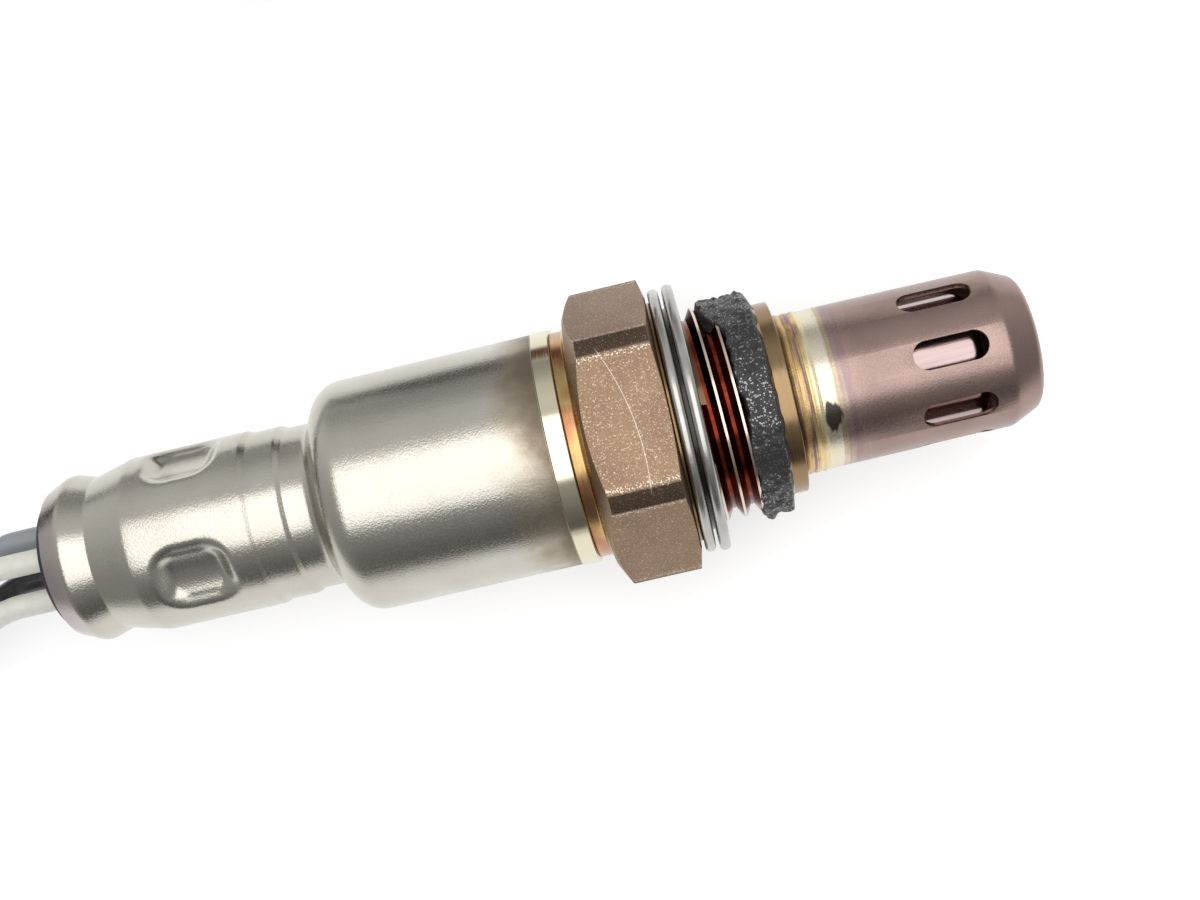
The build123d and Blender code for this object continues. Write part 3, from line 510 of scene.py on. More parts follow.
def drawn_stainless(colours):
    """Drawn and tumbled stainless steel: satin, with a fine grain, faint lines along the
    draw, a dull brown heat tint beside the weld, and a brighter turned weld ring. The
    grain is drawn coarser than the real one, so that it shows."""
    f = Finish("Drawn stainless steel", metallic=1.0)
    grain = f.add("TexNoise", {"Vector": f.place, "Scale": 1 / 0.15, "Detail": 2.0})
    cloud = f.add("TexNoise", {"Vector": f.place, "Scale": 1 / 3.5, "Detail": 4.0})
    along = f.add("Mapping", {0: f.place, "Scale": (0.03, 1.0, 1.0)})
    draw = f.add("TexNoise", {"Vector": along, "Scale": 1 / 1.3, "Detail": 2.0})
    steel = f.add("Mix", {0: cloud, 6: (*colours.steel, 1.0), 7: linear("#b2ada2")}, out=2,
                  data_type="RGBA")
    wander = f.add("Math", {0: cloud, 1: 5.0, 2: f.x}, operation="MULTIPLY_ADD")
    tint = f.add("MapRange", {0: wander, 1: -14.5, 2: -8.0}, interpolation_type="SMOOTHSTEP")
    brown = f.add("ValToRGB", {0: tint}, stops=[
        (0.0, "#ffffff"), (0.35, "#e9e2d8"), (0.7, "#c2b8ab"), (1.0, "#a89a8f")])
    tinted = f.add("Mix", {0: 1.0, 6: steel, 7: brown}, out=2, data_type="RGBA",
                   blend_type="MULTIPLY")
    ring = f.add("MapRange", {0: f.x, 1: CASING_FRONT - BEAD_LENGTH - 0.05,
                              2: CASING_FRONT - BEAD_LENGTH + 0.05})
    both = f.add("Mix", {0: ring, 6: tinted, 7: linear("#d8d1b8")}, out=2, data_type="RGBA")
    rear = f.add("MapRange", {0: f.x, 1: RIM_TINT_X, 2: CASING_REAR},
                 interpolation_type="SMOOTHSTEP")
    violet = f.add("Math", {0: rear, 1: cloud}, operation="MULTIPLY")
    colour_out = f.add("Mix", {0: violet, 6: both, 7: linear("#a596a0")}, out=2,
                       data_type="RGBA")
    rough = f.add("MapRange", {0: grain, 1: 0.3, 2: 0.7, 3: 0.16, 4: 0.28})
    dull = f.add("Math", {0: tint, 1: 0.3, 2: rough}, operation="MULTIPLY_ADD")
    ring_rough = f.add("Mix", {0: ring, 2: dull, 3: 0.15}, out=0, data_type="FLOAT")
    lines = turned_lines(f, 0.12)
    fine = f.add("Mix", {0: ring, 2: grain, 3: lines}, out=0, data_type="FLOAT")
    bump = f.add("Bump", {"Height": draw, "Distance": 0.02 * MM, "Strength": 0.6})
    bump = f.add("Bump", {"Height": fine, "Distance": 0.018 * MM, "Strength": 0.8,
                          "Normal": bump})
    return f.set(Base_Color=colour_out, Roughness=ring_rough, Normal=bump).material


def blasted_hexagon(colours):
    """Upset steel, blasted and heat tinted bronze: a sandy satin that glitters, with pale specks
    painted in as glints, darker on the turned-down corners and rubbed bright along their
    edges, with one long scratch. The grit is drawn coarser than the real one, so that it shows."""
    f = Finish("Blasted heat-tinted steel", metallic=1.0)
    grit = f.add("TexNoise", {"Vector": f.place, "Scale": 1 / 0.12, "Detail": 2.0})
    cloud = f.add("TexNoise", {"Vector": f.place, "Scale": 1 / 2.6, "Detail": 3.0})
    radius = axis_radius(f)
    face = f.add("Mix", {0: cloud, 6: (*colours.hexagon, 1.0), 7: linear("#806756")}, out=2,
                 data_type="RGBA")
    ragged = f.add("Math", {0: grit, 1: 0.25, 2: radius}, operation="MULTIPLY_ADD")
    corner = f.add("MapRange", {0: ragged, 1: HEX_CORNER_R, 2: HEX_CORNER_R + 0.12})
    dark = f.add("Mix", {0: corner, 6: face, 7: linear("#5c4c40")}, out=2, data_type="RGBA")
    rim = f.add("MapRange", {0: radius, 1: HEX_CORNER_R - 0.3, 2: HEX_CORNER_R - 0.1})
    inside = f.add("Math", {0: rim, 1: corner}, operation="SUBTRACT", use_clamp=True)
    worn = f.add("MapRange", {0: grit, 1: 0.52, 2: 0.6})
    rubbed = f.add("Math", {0: inside, 1: worn}, operation="MULTIPLY")
    bright = f.add("Mix", {0: rubbed, 6: dark, 7: linear("#eadfd0")}, out=2, data_type="RGBA")
    # Painted glints: pale specks where the grit stands highest
    painted_glint = f.add("MapRange", {0: grit, 1: 0.6, 2: 0.72, 4: 0.6})
    light = f.add("Mix", {0: painted_glint, 6: bright, 7: linear("#e6cfb6")}, out=2,
                  data_type="RGBA")
    flat = f.add("CombineXYZ", {0: f.x, 1: f.y})
    away = f.add("VectorMath", {0: flat, 1: SCRATCH_MIDDLE}, out="Value",
                 operation="DISTANCE")
    line = f.add("Math", {0: away, 1: SCRATCH_R, 2: SCRATCH_WIDTH / 2}, operation="COMPARE")
    top = f.add("MapRange", {0: f.z, 1: 10.7, 2: 10.9, 4: 0.4})
    mark = f.add("Math", {0: line, 1: top}, operation="MULTIPLY")
    scratched = f.add("Mix", {0: mark, 6: light, 7: linear("#efe6da")}, out=2,
                      data_type="RGBA")
    rough = f.add("MapRange", {0: grit, 1: 0.3, 2: 0.7, 3: 0.52, 4: 0.36})
    bump = f.add("Bump", {"Height": grit, "Distance": 0.02 * MM, "Strength": 0.8})
    return f.set(Base_Color=scratched, Roughness=rough, Normal=bump).material


def tinted_collar():
    """Turned steel coloured by heat from copper to gold, smooth and fairly bright, with painted
    shade that darkens it between the hexagon and the gasket and under the gasket."""
    f = Finish("Turned heat-tinted steel", metallic=1.0)
    cloud = f.add("TexNoise", {"Vector": f.place, "Scale": 1 / 4.5, "Detail": 2.0})
    tone = f.add("ValToRGB", {0: cloud}, stops=[
        (0.25, "#8a5c43"), (0.42, "#b0805c"), (0.55, "#bda36e"), (0.75, "#a07550")])
    # Painted shade: the collar drawn dark between the hexagon and the gasket and under the gasket
    seat_shade = f.add("MapRange", {0: f.x, 1: GASKET_REAR - 0.5, 2: GASKET_REAR, 4: 0.85})
    dark = f.add("Mix", {0: seat_shade, 6: tone, 7: linear("#2c211b")}, out=2, data_type="RGBA")
    front = f.add("MapRange", {0: f.x, 1: GASKET_REAR, 2: THREAD_FRONT})
    gold = f.add("Mix", {0: front, 6: dark, 7: linear("#8f7759")}, out=2, data_type="RGBA")
    lines = turned_lines(f, 0.1)
    rough = f.add("MapRange", {0: lines, 1: 0.3, 2: 0.7, 3: 0.16, 4: 0.3})
    bump = f.add("Bump", {"Height": lines, "Distance": 0.008 * MM})
    return f.set(Base_Color=gold, Roughness=rough, Normal=bump).material


def greased_thread():
    """Rolled thread under a film of copper-red grease: deep red flanks and bare crests."""
    f = Finish("Rolled steel under copper grease", metallic=1.0)
    radius = axis_radius(f)
    cloud = f.add("TexNoise", {"Vector": f.place, "Scale": 1 / 1.8, "Detail": 3.0})
    film = f.add("ValToRGB", {0: cloud}, stops=[
        (0.3, "#46180f"), (0.5, "#6e2a1a"), (0.7, "#8a4630")])
    crest = f.add("MapRange", {0: radius, 1: 8.88, 2: 8.93})
    bare = f.add("Mix", {0: crest, 6: film, 7: linear("#dccbbb")}, out=2, data_type="RGBA")
    front = f.add("MapRange", {0: f.x, 1: 4.6, 2: THREAD_FRONT})
    gold = f.add("Mix", {0: front, 6: bare, 7: linear("#a38a6a")}, out=2, data_type="RGBA")
    lines = turned_lines(f, 0.08)
    bump = f.add("Bump", {"Height": lines, "Distance": 0.006 * MM})
    return f.set(Base_Color=gold, Roughness=0.2, Normal=bump).material


def dried_compound(colours):
    """Anti-seize compound that has dried to a dark smooth crust full of bright metal flakes,
    which glint where the light falls straight on them."""
    f = Finish("Dried anti-seize compound")
    flakes = f.add("TexVoronoi", {"Vector": f.place, "Scale": 1 / FLAKE}, out="Color")
    pick = f.add("SeparateColor", {0: flakes})
    lit = f.add("MapRange", {0: pick, 1: 0.86, 2: 0.88})
    crust = f.add("TexNoise", {"Vector": f.place, "Scale": 1 / 0.7, "Detail": 5.0})
    ground = f.add("Mix", {0: crust, 6: linear("#1b1b1c"), 7: (*colours.compound, 1.0)},
                   out=2, data_type="RGBA")
    tone = f.add("Mix", {0: lit, 6: ground, 7: linear("#8e8e8c")}, out=2, data_type="RGBA")
    metal = f.add("MapRange", {0: lit, 3: 0.2, 4: 1.0})
    rough = f.add("MapRange", {0: lit, 3: 0.42, 4: 0.25})
    bump = f.add("Bump", {"Height": crust, "Distance": 0.08 * MM})
    tilt = f.add("Bump", {"Height": pick, "Distance": 0.02 * MM, "Normal": bump})
    return f.set(Base_Color=tone, Metallic=metal, Roughness=rough, Normal=tilt).material


def rolled_strip():
    """Gasket strip: cold-rolled steel, grey on the folds, with painted shade darkening the gap
    between the rims.
    """
    f = Finish("Cold-rolled steel strip", metallic=1.0)
    radius = axis_radius(f)
    cloud = f.add("TexNoise", {"Vector": f.place, "Scale": 1 / 1.5, "Detail": 3.0})
    steel = f.add("Mix", {0: cloud, 6: linear("#c4c2be"), 7: linear("#9c9994")}, out=2,
                  data_type="RGBA")
    # Painted shade: dark grey deep in the gap between the rims, fading out towards them
    fold_gap_shade = f.add("MapRange", {0: radius, 1: GASKET_FOLD_R, 2: GASKET_R - GASKET_UNSHADED_DEPTH})
    tone = f.add("Mix", {0: fold_gap_shade, 6: linear("#4a4644"), 7: steel}, out=2, data_type="RGBA")
    lines = turned_lines(f, 0.15)
    rough = f.add("MapRange", {0: lines, 1: 0.3, 2: 0.7, 3: 0.2, 4: 0.32})
    bump = f.add("Bump", {"Height": cloud, "Distance": 0.02 * MM})
    return f.set(Base_Color=tone, Roughness=rough, Normal=bump).material


def heat_tinted_shield(colours):
    """Deep-drawn heat-resistant steel: straw, gold and violet bands at the welded base that
    turn to a mauve-brown satin, with one patch of soot beside the weld. The grain is
    drawn coarser than the real one, so that it shows."""
    f = Finish("Heat-tinted drawn steel", metallic=1.0)
    grain = f.add("TexNoise", {"Vector": f.place, "Scale": 1 / 0.15, "Detail": 2.0})
    cloud = f.add("TexNoise", {"Vector": f.place, "Scale": 1 / 3.0, "Detail": 3.0})
    drift = f.add("Math", {0: cloud, 1: 1.6, 2: f.x}, operation="MULTIPLY_ADD")
    lines = turned_lines(f, 0.2)
    drift = f.add("Math", {0: lines, 1: 1.5, 2: drift}, operation="MULTIPLY_ADD")
    share = f.add("MapRange", {0: drift, 1: 8.85, 2: 13.85})
    base = f.add("ValToRGB", {0: share}, stops=[
        (0.0, "#8a7560"), (0.1, "#d2b075"), (0.19, "#80626a"), (0.28, "#dcc084"),
        (0.4, "#e0d6ba"), (0.6, "#dcd4c2"), (0.7, "#b9a78c"), (0.8, "#9f8a86"),
        (0.9, "#977f80"), (1.0, "#a58d84")])
    patches = f.add("Mix", {0: cloud, 6: (*colours.shield, 1.0), 7: linear("#8a7670")}, out=2,
                    data_type="RGBA")
    body = f.add("MapRange", {0: f.x, 1: 11.2, 2: 13.2})
    tone = f.add("Mix", {0: body, 6: base, 7: patches}, out=2, data_type="RGBA")
    flat = f.add("VectorMath", {0: f.place, 1: SOOT_PLACE}, operation="SUBTRACT")
    long = f.add("Mapping", {0: flat, "Scale": (1.6, 0.9, 0.9)})
    away = f.add("VectorMath", {0: long}, out="Value", operation="LENGTH")
    streaks = f.add("Mapping", {0: f.place, "Scale": (1.0, 0.25, 0.25)})
    edge = f.add("TexNoise", {"Vector": streaks, "Scale": 1 / 0.5, "Detail": 4.0})
    ragged = f.add("Math", {0: edge, 1: 1.6, 2: away}, operation="MULTIPLY_ADD")
    soot = f.add("MapRange", {0: ragged, 1: 1.75, 2: 2.05, 3: 0.92, 4: 0.0})
    dark = f.add("Mix", {0: soot, 6: tone, 7: linear("#2c2828")}, out=2, data_type="RGBA")
    rough = f.add("MapRange", {0: grain, 1: 0.3, 2: 0.7, 3: 0.24, 4: 0.36})
    bump = f.add("Bump", {"Height": grain, "Distance": 0.012 * MM, "Strength": 0.8})
    return f.set(Base_Color=dark, Roughness=rough, Normal=bump).material


def tinted_inner_shield():
    """Drawn steel of the inner cup, smoother than the outer one and tinted grey-violet."""
    f = Finish("Drawn inner steel", metallic=1.0)
    along = f.add("Mapping", {0: f.place, "Scale": (0.05, 1.0, 1.0)})
    lines = f.add("TexNoise", {"Vector": along, "Scale": 1 / 0.4, "Detail": 3.0})
    tone = f.add("Mix", {0: lines, 6: linear("#b9a6a4"), 7: linear("#94807e")}, out=2,
                 data_type="RGBA")
    bump = f.add("Bump", {"Height": lines, "Distance": 0.02 * MM})
    return f.set(Base_Color=tone, Roughness=0.18, Normal=bump).material


def moulded_rubber():
    """Moulded fluoro rubber: nearly black, dull, with a fine eroded-mould grain."""
    f = Finish("Moulded fluoro rubber", Specular_IOR_Level=0.4)
    grain = f.add("TexNoise", {"Vector": f.place, "Scale": 1 / 0.25, "Detail": 3.0})
    tone = f.add("Mix", {0: grain, 6: linear("#1c1d21"), 7: linear("#2b2c33")}, out=2,
                 data_type="RGBA")
    rough = f.add("MapRange", {0: grain, 1: 0.3, 2: 0.7, 3: 0.5, 4: 0.65})
    bump = f.add("Bump", {"Height": grain, "Distance": 0.03 * MM})
    return f.set(Base_Color=tone, Roughness=rough, Normal=bump).material


def extruded_insulation(name, shade):
    """Extruded cross-linked wire insulation: smooth, slightly glossy, a little scuffed."""
    f = Finish(name, Specular_IOR_Level=0.45)
    scuff = f.add("TexNoise", {"Vector": f.place, "Scale": 1 / 0.9, "Detail": 4.0})
    worn = f.add("MapRange", {0: scuff, 1: 0.45, 2: 0.9, 4: 0.25})
    tone = f.add("Mix", {0: worn, 6: (*shade, 1.0), 7: linear("#8d8a84")}, out=2,
                 data_type="RGBA")
    rough = f.add("MapRange", {0: scuff, 1: 0.3, 2: 0.7, 3: 0.3, 4: 0.42})
    bump = f.add("Bump", {"Height": scuff, "Distance": 0.01 * MM})
    return f.set(Base_Color=tone, Roughness=rough, Normal=bump).material


def woven_glass_sleeve(colours):
    """Braided glass-fibre sleeve: crossing bundles of dark yarn, dull and slightly fuzzy.
    The pattern follows the cord, once round and once for each braid pitch along it."""
    f = Finish("Braided glass-fibre sleeve", Sheen_Weight=0.25, Sheen_Roughness=0.6)
    across = f.add("SeparateXYZ", {0: f.add("TexCoord", out="UV")}, out=None).outputs
    rounds = f.add("Math", {0: across["Y"], 1: BRAID_BUNDLES}, operation="MULTIPLY")
    rows = f.add("Math", {0: across["X"], 1: BRAID_ROWS}, operation="MULTIPLY")
    waves = []
    for operation in ("ADD", "SUBTRACT"):
        phase = f.add("Math", {0: rows, 1: rounds}, operation=operation)
        turn = f.add("Math", {0: phase, 1: 2 * pi}, operation="MULTIPLY")
        waves.append(f.add("Math", {0: turn}, operation="SINE"))
    weave = f.add("Math", {0: waves[0], 1: waves[1]}, operation="MAXIMUM")
    fuzz = f.add("TexNoise", {"Vector": f.place, "Scale": 1 / 0.2, "Detail": 3.0})
    high = f.add("MapRange", {0: weave, 1: -0.6, 2: 1.0})
    tone = f.add("Mix", {0: high, 6: linear("#101013"), 7: (*colours.sleeve, 1.0)}, out=2,
                 data_type="RGBA")
    bump = f.add("Bump", {"Height": high, "Distance": 0.25 * MM})
    bump = f.add("Bump", {"Height": fuzz, "Distance": 0.05 * MM, "Normal": bump})
    rough = f.add("MapRange", {0: fuzz, 1: 0.3, 2: 0.7, 3: 0.7, 4: 0.9})
    return f.set(Base_Color=tone, Roughness=rough, Normal=bump).material


def moulded(name, light, dark, width, depth, rough, **fixed):
    """A moulded, sintered or pressed surface: two shades in fine grains of a real width and
    depth, in millimetres, and a roughness that varies with them."""
    f = Finish(name, **fixed)
    grain = f.add("TexNoise", {"Vector": f.place, "Scale": 1 / width, "Detail": 3.0})
    tone = f.add("Mix", {0: grain, 6: linear(dark), 7: linear(light)}, out=2,
                 data_type="RGBA")
    change = f.add("MapRange", {0: grain, 1: 0.3, 2: 0.7, 3: rough - 0.07, 4: rough + 0.07})
    bump = f.add("Bump", {"Height": grain, "Distance": depth * MM})
    return f.set(Base_Color=tone, Roughness=change, Normal=bump).material


def shell_body():
    """Turned steel body with its collars, pilot, spigot and stepped bore."""
    return turned("shell_body", rounded([
        (SHELL_FRONT, SPIGOT_BORE_R, 0),
        (SHELL_FRONT, SPIGOT_R, SPIGOT_EDGE),
        (PILOT_FRONT, SPIGOT_R, 0),
        (PILOT_FRONT, PILOT_R, PILOT_EDGE),
        (THREAD_FRONT, PILOT_R, 0),
        (THREAD_FRONT, THREAD_ROOT_R - CLEAR, 0),
        (GASKET_REAR, THREAD_ROOT_R - CLEAR, 0),
        (GASKET_REAR, SEAT_COLLAR_R, COLLAR_EDGE),
        (HEX_REAR + HEX_LENGTH, SEAT_COLLAR_R, 0),
        (HEX_REAR + HEX_LENGTH - CLEAR, COLLAR_R, 0),
        (HEX_REAR, COLLAR_R + COLLAR_FLARE, 0),
        (HEX_REAR - COLLAR_FLARE, COLLAR_R, COLLAR_BEND),
        (CASING_FRONT, COLLAR_R, COLLAR_EDGE),
        (CASING_FRONT, TAIL_R, 0),
        (CASING_FRONT - TAIL_LENGTH, TAIL_R, 0),
        (CASING_FRONT - TAIL_LENGTH, LIP_R, 0),
        (SHELL_REAR, LIP_R, 0),
        (SHELL_REAR, LIP_BORE_R, 0),
        (SHELL_REAR + LIP_LENGTH, LIP_BORE_R, 0),
        (SHELL_REAR + LIP_LENGTH, REAR_BORE_R, 0),
        (-SEAT_DEPTH, REAR_BORE_R, 0),
        (-SEAT_DEPTH, SPIGOT_BORE_R, 0),
    ]))


def hexagon(width):
    """Hexagon with its ends turned down at the corners, as a ring round the body."""
    deselect()
    bpy.ops.mesh.primitive_cylinder_add(
        vertices=6, radius=width / 2 / cos(pi / 6), depth=HEX_LENGTH * MM,
        location=((HEX_REAR + HEX_LENGTH / 2) * MM, 0, 0), rotation=(0, pi / 2, 0),
    )
    bpy.ops.object.transform_apply(location=True, rotation=True, scale=True)
    piece = bpy.context.object
    piece.name = "hexagon"
    front = HEX_REAR + HEX_LENGTH
    cut(piece, turned("envelope", rounded([
        (HEX_REAR, HEX_BORE_R, 0),
        (HEX_REAR, HEX_FACE_R, 0),
        (HEX_REAR + HEX_REAR_CHAMFER, HEX_CORNER_R, 0),
        (front - HEX_FRONT_CHAMFER, HEX_CORNER_R, 0),
        (front, HEX_FACE_R, 0),
        (front, HEX_BORE_R, 0),
    ])), "INTERSECT")
    soften(piece, HEX_EDGE, HEX_SHARP)
    return piece


def thread(crest_d, pitch):
    """Helical thread, cut square behind and chamfered in front."""
    crest_r = crest_d / 2
    slope = (pitch - THREAD_CREST - THREAD_ROOT) / 2
    piece = chain("thread", [
        (THREAD_START, THREAD_ROOT_R),
        (THREAD_START + THREAD_ROOT, THREAD_ROOT_R),
        (THREAD_START + THREAD_ROOT + slope, crest_r),
        (THREAD_START + THREAD_ROOT + slope + THREAD_CREST, crest_r),
        (THREAD_START + pitch, THREAD_ROOT_R),
    ])
    bpy.ops.object.mode_set(mode="OBJECT")
    screw = piece.modifiers.new("helix", "SCREW")
    screw.axis = "X"
    screw.angle = 2 * pi
    screw.screw_offset = pitch * MM
    screw.iterations = THREAD_TURNS
    screw.steps = screw.render_steps = TURN_STEPS // 2
    bpy.ops.object.modifier_apply(modifier=screw.name)
    bpy.ops.object.mode_set(mode="EDIT")
    bpy.ops.mesh.select_all(action="SELECT")
    bpy.ops.mesh.remove_doubles(threshold=MERGE * MM)
    for place, side in ((CLEAR, -1), (THREAD_FRONT, 1)):
        bpy.ops.mesh.select_all(action="SELECT")
        bpy.ops.mesh.bisect(
            plane_co=(place * MM, 0, 0), plane_no=(side, 0, 0), use_fill=True,
            clear_outer=True,
        )
    tidy_mesh()
    cut(piece, turned("envelope", rounded([
        (-CLEAR, PILOT_R / 2, 0),
        (-CLEAR, crest_r + CLEAR, 0),
        (THREAD_FRONT - THREAD_CHAMFER, crest_r + CLEAR, 0),
        (THREAD_FRONT + CLEAR, THREAD_ROOT_R, 0),
        (THREAD_FRONT + CLEAR, PILOT_R / 2, 0),
    ])), "INTERSECT")
    return piece


def gasket():
    """Folded washer with two rims, its bend round the neck and a gap between the rims."""
    layer = (-GASKET_REAR - GASKET_FOLD_GAP) / 2
    return turned("gasket", rounded([
        (GASKET_REAR, GASKET_BORE_R, GASKET_BEND),
        (GASKET_REAR, GASKET_REAR_R, GASKET_EDGE),
        (GASKET_REAR + layer, GASKET_REAR_R, GASKET_EDGE),
        (GASKET_REAR + layer, GASKET_FOLD_R, 0),
        (-layer, GASKET_FOLD_R, 0),
        (-layer, GASKET_R, GASKET_EDGE),
        (0, GASKET_R, GASKET_EDGE),
        (0, GASKET_BORE_R, GASKET_BEND),
    ]))


def shield_line():
    """Half section of the outer shield, from the axis outside its tip, round its base and
    back to the axis inside."""
    tip_r = SHIELD_R - SHIELD_TAPER
    dome_rear = SHIELD_TIP - DOME_CROWN - DOME_LENGTH
    dome_front = SHIELD_TIP - DOME_CROWN
    line = [
        (SHIELD_TIP, 0, 0),
        (dome_front, DOME_END_R, DOME_CORNER),
        (dome_rear, tip_r, DOME_SHOULDER),
    ]
    for ring in range(WELD_RINGS, 0, -1):
        x = SHIELD_REAR + WELD_RING_LENGTH * ring
        line += [
            (x, SHIELD_R, WELD_RING_FOOT),
            (x - WELD_RING_LENGTH / 2, SHIELD_R + WELD_RING_HEIGHT, WELD_RING_CROWN),
        ]
    return rounded(line + [
        (SHIELD_REAR, SHIELD_R, WELD_RING_FOOT),
        (SHIELD_REAR, SHIELD_R - SHIELD_WALL, 0),
        (dome_rear - SHIELD_WALL / 2, tip_r - SHIELD_WALL, DOME_INNER_BENDS[0]),
        (dome_front - SHIELD_WALL, DOME_END_R - SHIELD_WALL, DOME_INNER_BENDS[1]),
        (SHIELD_TIP - SHIELD_WALL, 0, 0),
    ])


def slot_bars(width):
    """One round-ended bar for each gas slot, standing out from the axis."""
    bars = []
    for k in range(SLOT_COUNT):
        deselect()
        bpy.ops.mesh.primitive_cylinder_add(
            vertices=SLOT_VERTICES, radius=width / 2, depth=SHIELD_R * MM,
            location=(0, 0, SHIELD_R * MM), enter_editmode=True,
        )
        bar = bpy.context.object
        half = (SLOT_LENGTH * MM - width) / 2
        for side in (-1, 1):
            bpy.ops.mesh.select_all(action="DESELECT")
            bpy.ops.object.mode_set(mode="OBJECT")
            for v in bar.data.vertices:
                v.select = v.co.x * side > MERGE * MM
            bpy.ops.object.mode_set(mode="EDIT")
            bpy.ops.transform.translate(value=(side * half, 0, 0))
        bpy.ops.object.mode_set(mode="OBJECT")
        place = Matrix.Rotation(2 * pi * k / SLOT_COUNT, 4, "X")
        place = place @ Matrix.Translation((SLOT_X * MM, 0, SHIELD_R * MM))
        bar.matrix_world = place
        bpy.ops.object.transform_apply(location=True, rotation=True, scale=True)
        bars.append(bar)
    return bars


def join(pieces):
    """Joins pieces into the first of them."""
    activate(pieces[0])
    for piece in pieces:
        piece.select_set(True)
    bpy.ops.object.join()
    return pieces[0]


def outer_shield(slot_width):
    """Slotted cup with softened slot edges."""
    cup = turned("outer_shield_cup", shield_line(), closed=False)
    cut(cup, join(slot_bars(slot_width)))
    soften(cup, SLOT_EDGE, SLOT_SHARP)
    return cup


def hole_bars(count, x, radius):
    """Round bars that stand out from the axis, for a ring of holes."""
    bars = []
    for k in range(count):
        deselect()
        bpy.ops.mesh.primitive_cylinder_add(
            vertices=HOLE_VERTICES, radius=radius * MM, depth=SHIELD_R * MM,
        )
        bar = bpy.context.object
        place = Matrix.Rotation(2 * pi * k / count, 4, "X")
        bar.matrix_world = place @ Matrix.Translation((x * MM, 0, SHIELD_R * MM))
        bpy.ops.object.transform_apply(location=True, rotation=True, scale=True)
        bars.append(bar)
    return join(bars)


def inner_shield():
    """Plain cup with a flange and a ring of round holes near its base."""
    flange = SHELL_FRONT
    wall_r = INNER_R - INNER_WALL
    cup = turned("inner_shield_cup", rounded([
        (INNER_TIP, 0, 0),
        (INNER_TIP, INNER_R, INNER_END_RADIUS),
        (flange + INNER_FLANGE, INNER_R, 0),
        (flange + INNER_FLANGE, INNER_FLANGE_R, 0),
        (flange, INNER_FLANGE_R, 0),
        (flange, INNER_R, 0),
        (INNER_REAR, INNER_R, 0),
        (INNER_REAR, wall_r, 0),
        (INNER_TIP - INNER_WALL, wall_r, INNER_END_RADIUS - INNER_WALL),
        (INNER_TIP - INNER_WALL, 0, 0),
    ]), closed=False)
    cut(cup, hole_bars(INNER_HOLE_COUNT, INNER_HOLE_X, INNER_HOLE_R))
    return cup


def casing_line(inset):
    """Points of the casing's outside, or of its inside when inset by the wall, from the
    front edge to the rear end, with close points where the dimples are pressed."""
    ahead = [
        (CASING_FRONT, CASING_R - inset, 0),
        (CASING_FRONT - SHOULDER, CASING_R - inset, SHOULDER_RADIUS - inset),
        (CASING_FRONT - NECK_FRONT, NECK_R - inset, SHOULDER_FOOT + inset),
        (CASING_FRONT - NECK_REAR, NECK_R - inset, STEP_BEND),
        (CASING_FRONT - BAND_FRONT, BAND_R - inset, STEP_BEND),
        (CASING_FRONT - BAND_REAR, BAND_R - inset, STEP_BEND),
        (CASING_FRONT - TUBE_FRONT, TUBE_R - inset, STEP_BEND),
        (CASING_FRONT - TUBE_REAR, TUBE_R - inset, TUBE_END_RADIUS - inset),
        (CASING_FRONT - GROOVE, GROOVE_R - inset, GROOVE_RADIUS),
        (CASING_FRONT - RIM, RIM_R - inset, RIM_RADIUS - inset),
        (CASING_REAR, RIM_END_R - inset, 0),
        (CASING_REAR, 0, 0),
        (CASING_FRONT, 0, 0),
    ]
    line = rounded(ahead)[:-2]
    fine = stretch(DIMPLE_X + DIMPLE_ZONE, DIMPLE_X - DIMPLE_ZONE, TUBE_R - inset)
    before = [p for p in line if p.x > fine[0].x]
    after = [p for p in line if p.x < fine[-1].x]
    return before + fine + after


def press_dimples(piece, depth):
    """Presses the crimp dimples into the tube: soft-edged hollows whose floors sink a little
    towards the middle."""
    for v in piece.data.vertices:
        if abs(v.co.x / MM - DIMPLE_X) > DIMPLE_ZONE + MERGE:
            continue
        x, y, z = v.co / MM
        wall = TUBE_R - Vector((y, z)).length
        for k in range(DIMPLE_COUNT):
            angle = DIMPLE_ANGLE + 2 * pi * k / DIMPLE_COUNT
            out = Vector((0, -sin(angle), cos(angle)))
            height = out.y * y + out.z * z
            across = abs(out.z * y - out.y * z)
            bowl = DIMPLE_BOWL * max(1 - (across / DIMPLE_HALF_WIDTH) ** 2, 0)
            floor = TUBE_R - wall - depth / MM - bowl
            if height < floor:
                continue
            over_x = abs(x - DIMPLE_X) - DIMPLE_HALF_LENGTH + DIMPLE_CORNER
            over_y = across - DIMPLE_HALF_WIDTH + DIMPLE_CORNER
            away = Vector((max(over_x, 0), max(over_y, 0))).length - DIMPLE_CORNER
            share = smooth(1 - away / DIMPLE_SLOPE)
            v.co -= out * (height - floor) * share * MM


def casing(dimple_depth):
    """Drawn casing with its weld ring, shoulder, neck, dimpled tube, groove and rim."""
    outside, inside = casing_line(0), casing_line(CASING_WALL)
    ring = [
        Vector((CASING_FRONT, CASING_R - CASING_WALL / 2)),
        Vector((CASING_FRONT, CASING_R + BEAD_HEIGHT - BEAD_EDGE)),
        Vector((CASING_FRONT - BEAD_EDGE, CASING_R + BEAD_HEIGHT)),
        Vector((CASING_FRONT - BEAD_LENGTH + BEAD_EDGE, CASING_R + BEAD_HEIGHT)),
        Vector((CASING_FRONT - BEAD_LENGTH, CASING_R)),
    ]
    piece = turned("casing", ring + outside[1:] + inside[::-1])
    press_dimples(piece, dimple_depth)
    return piece


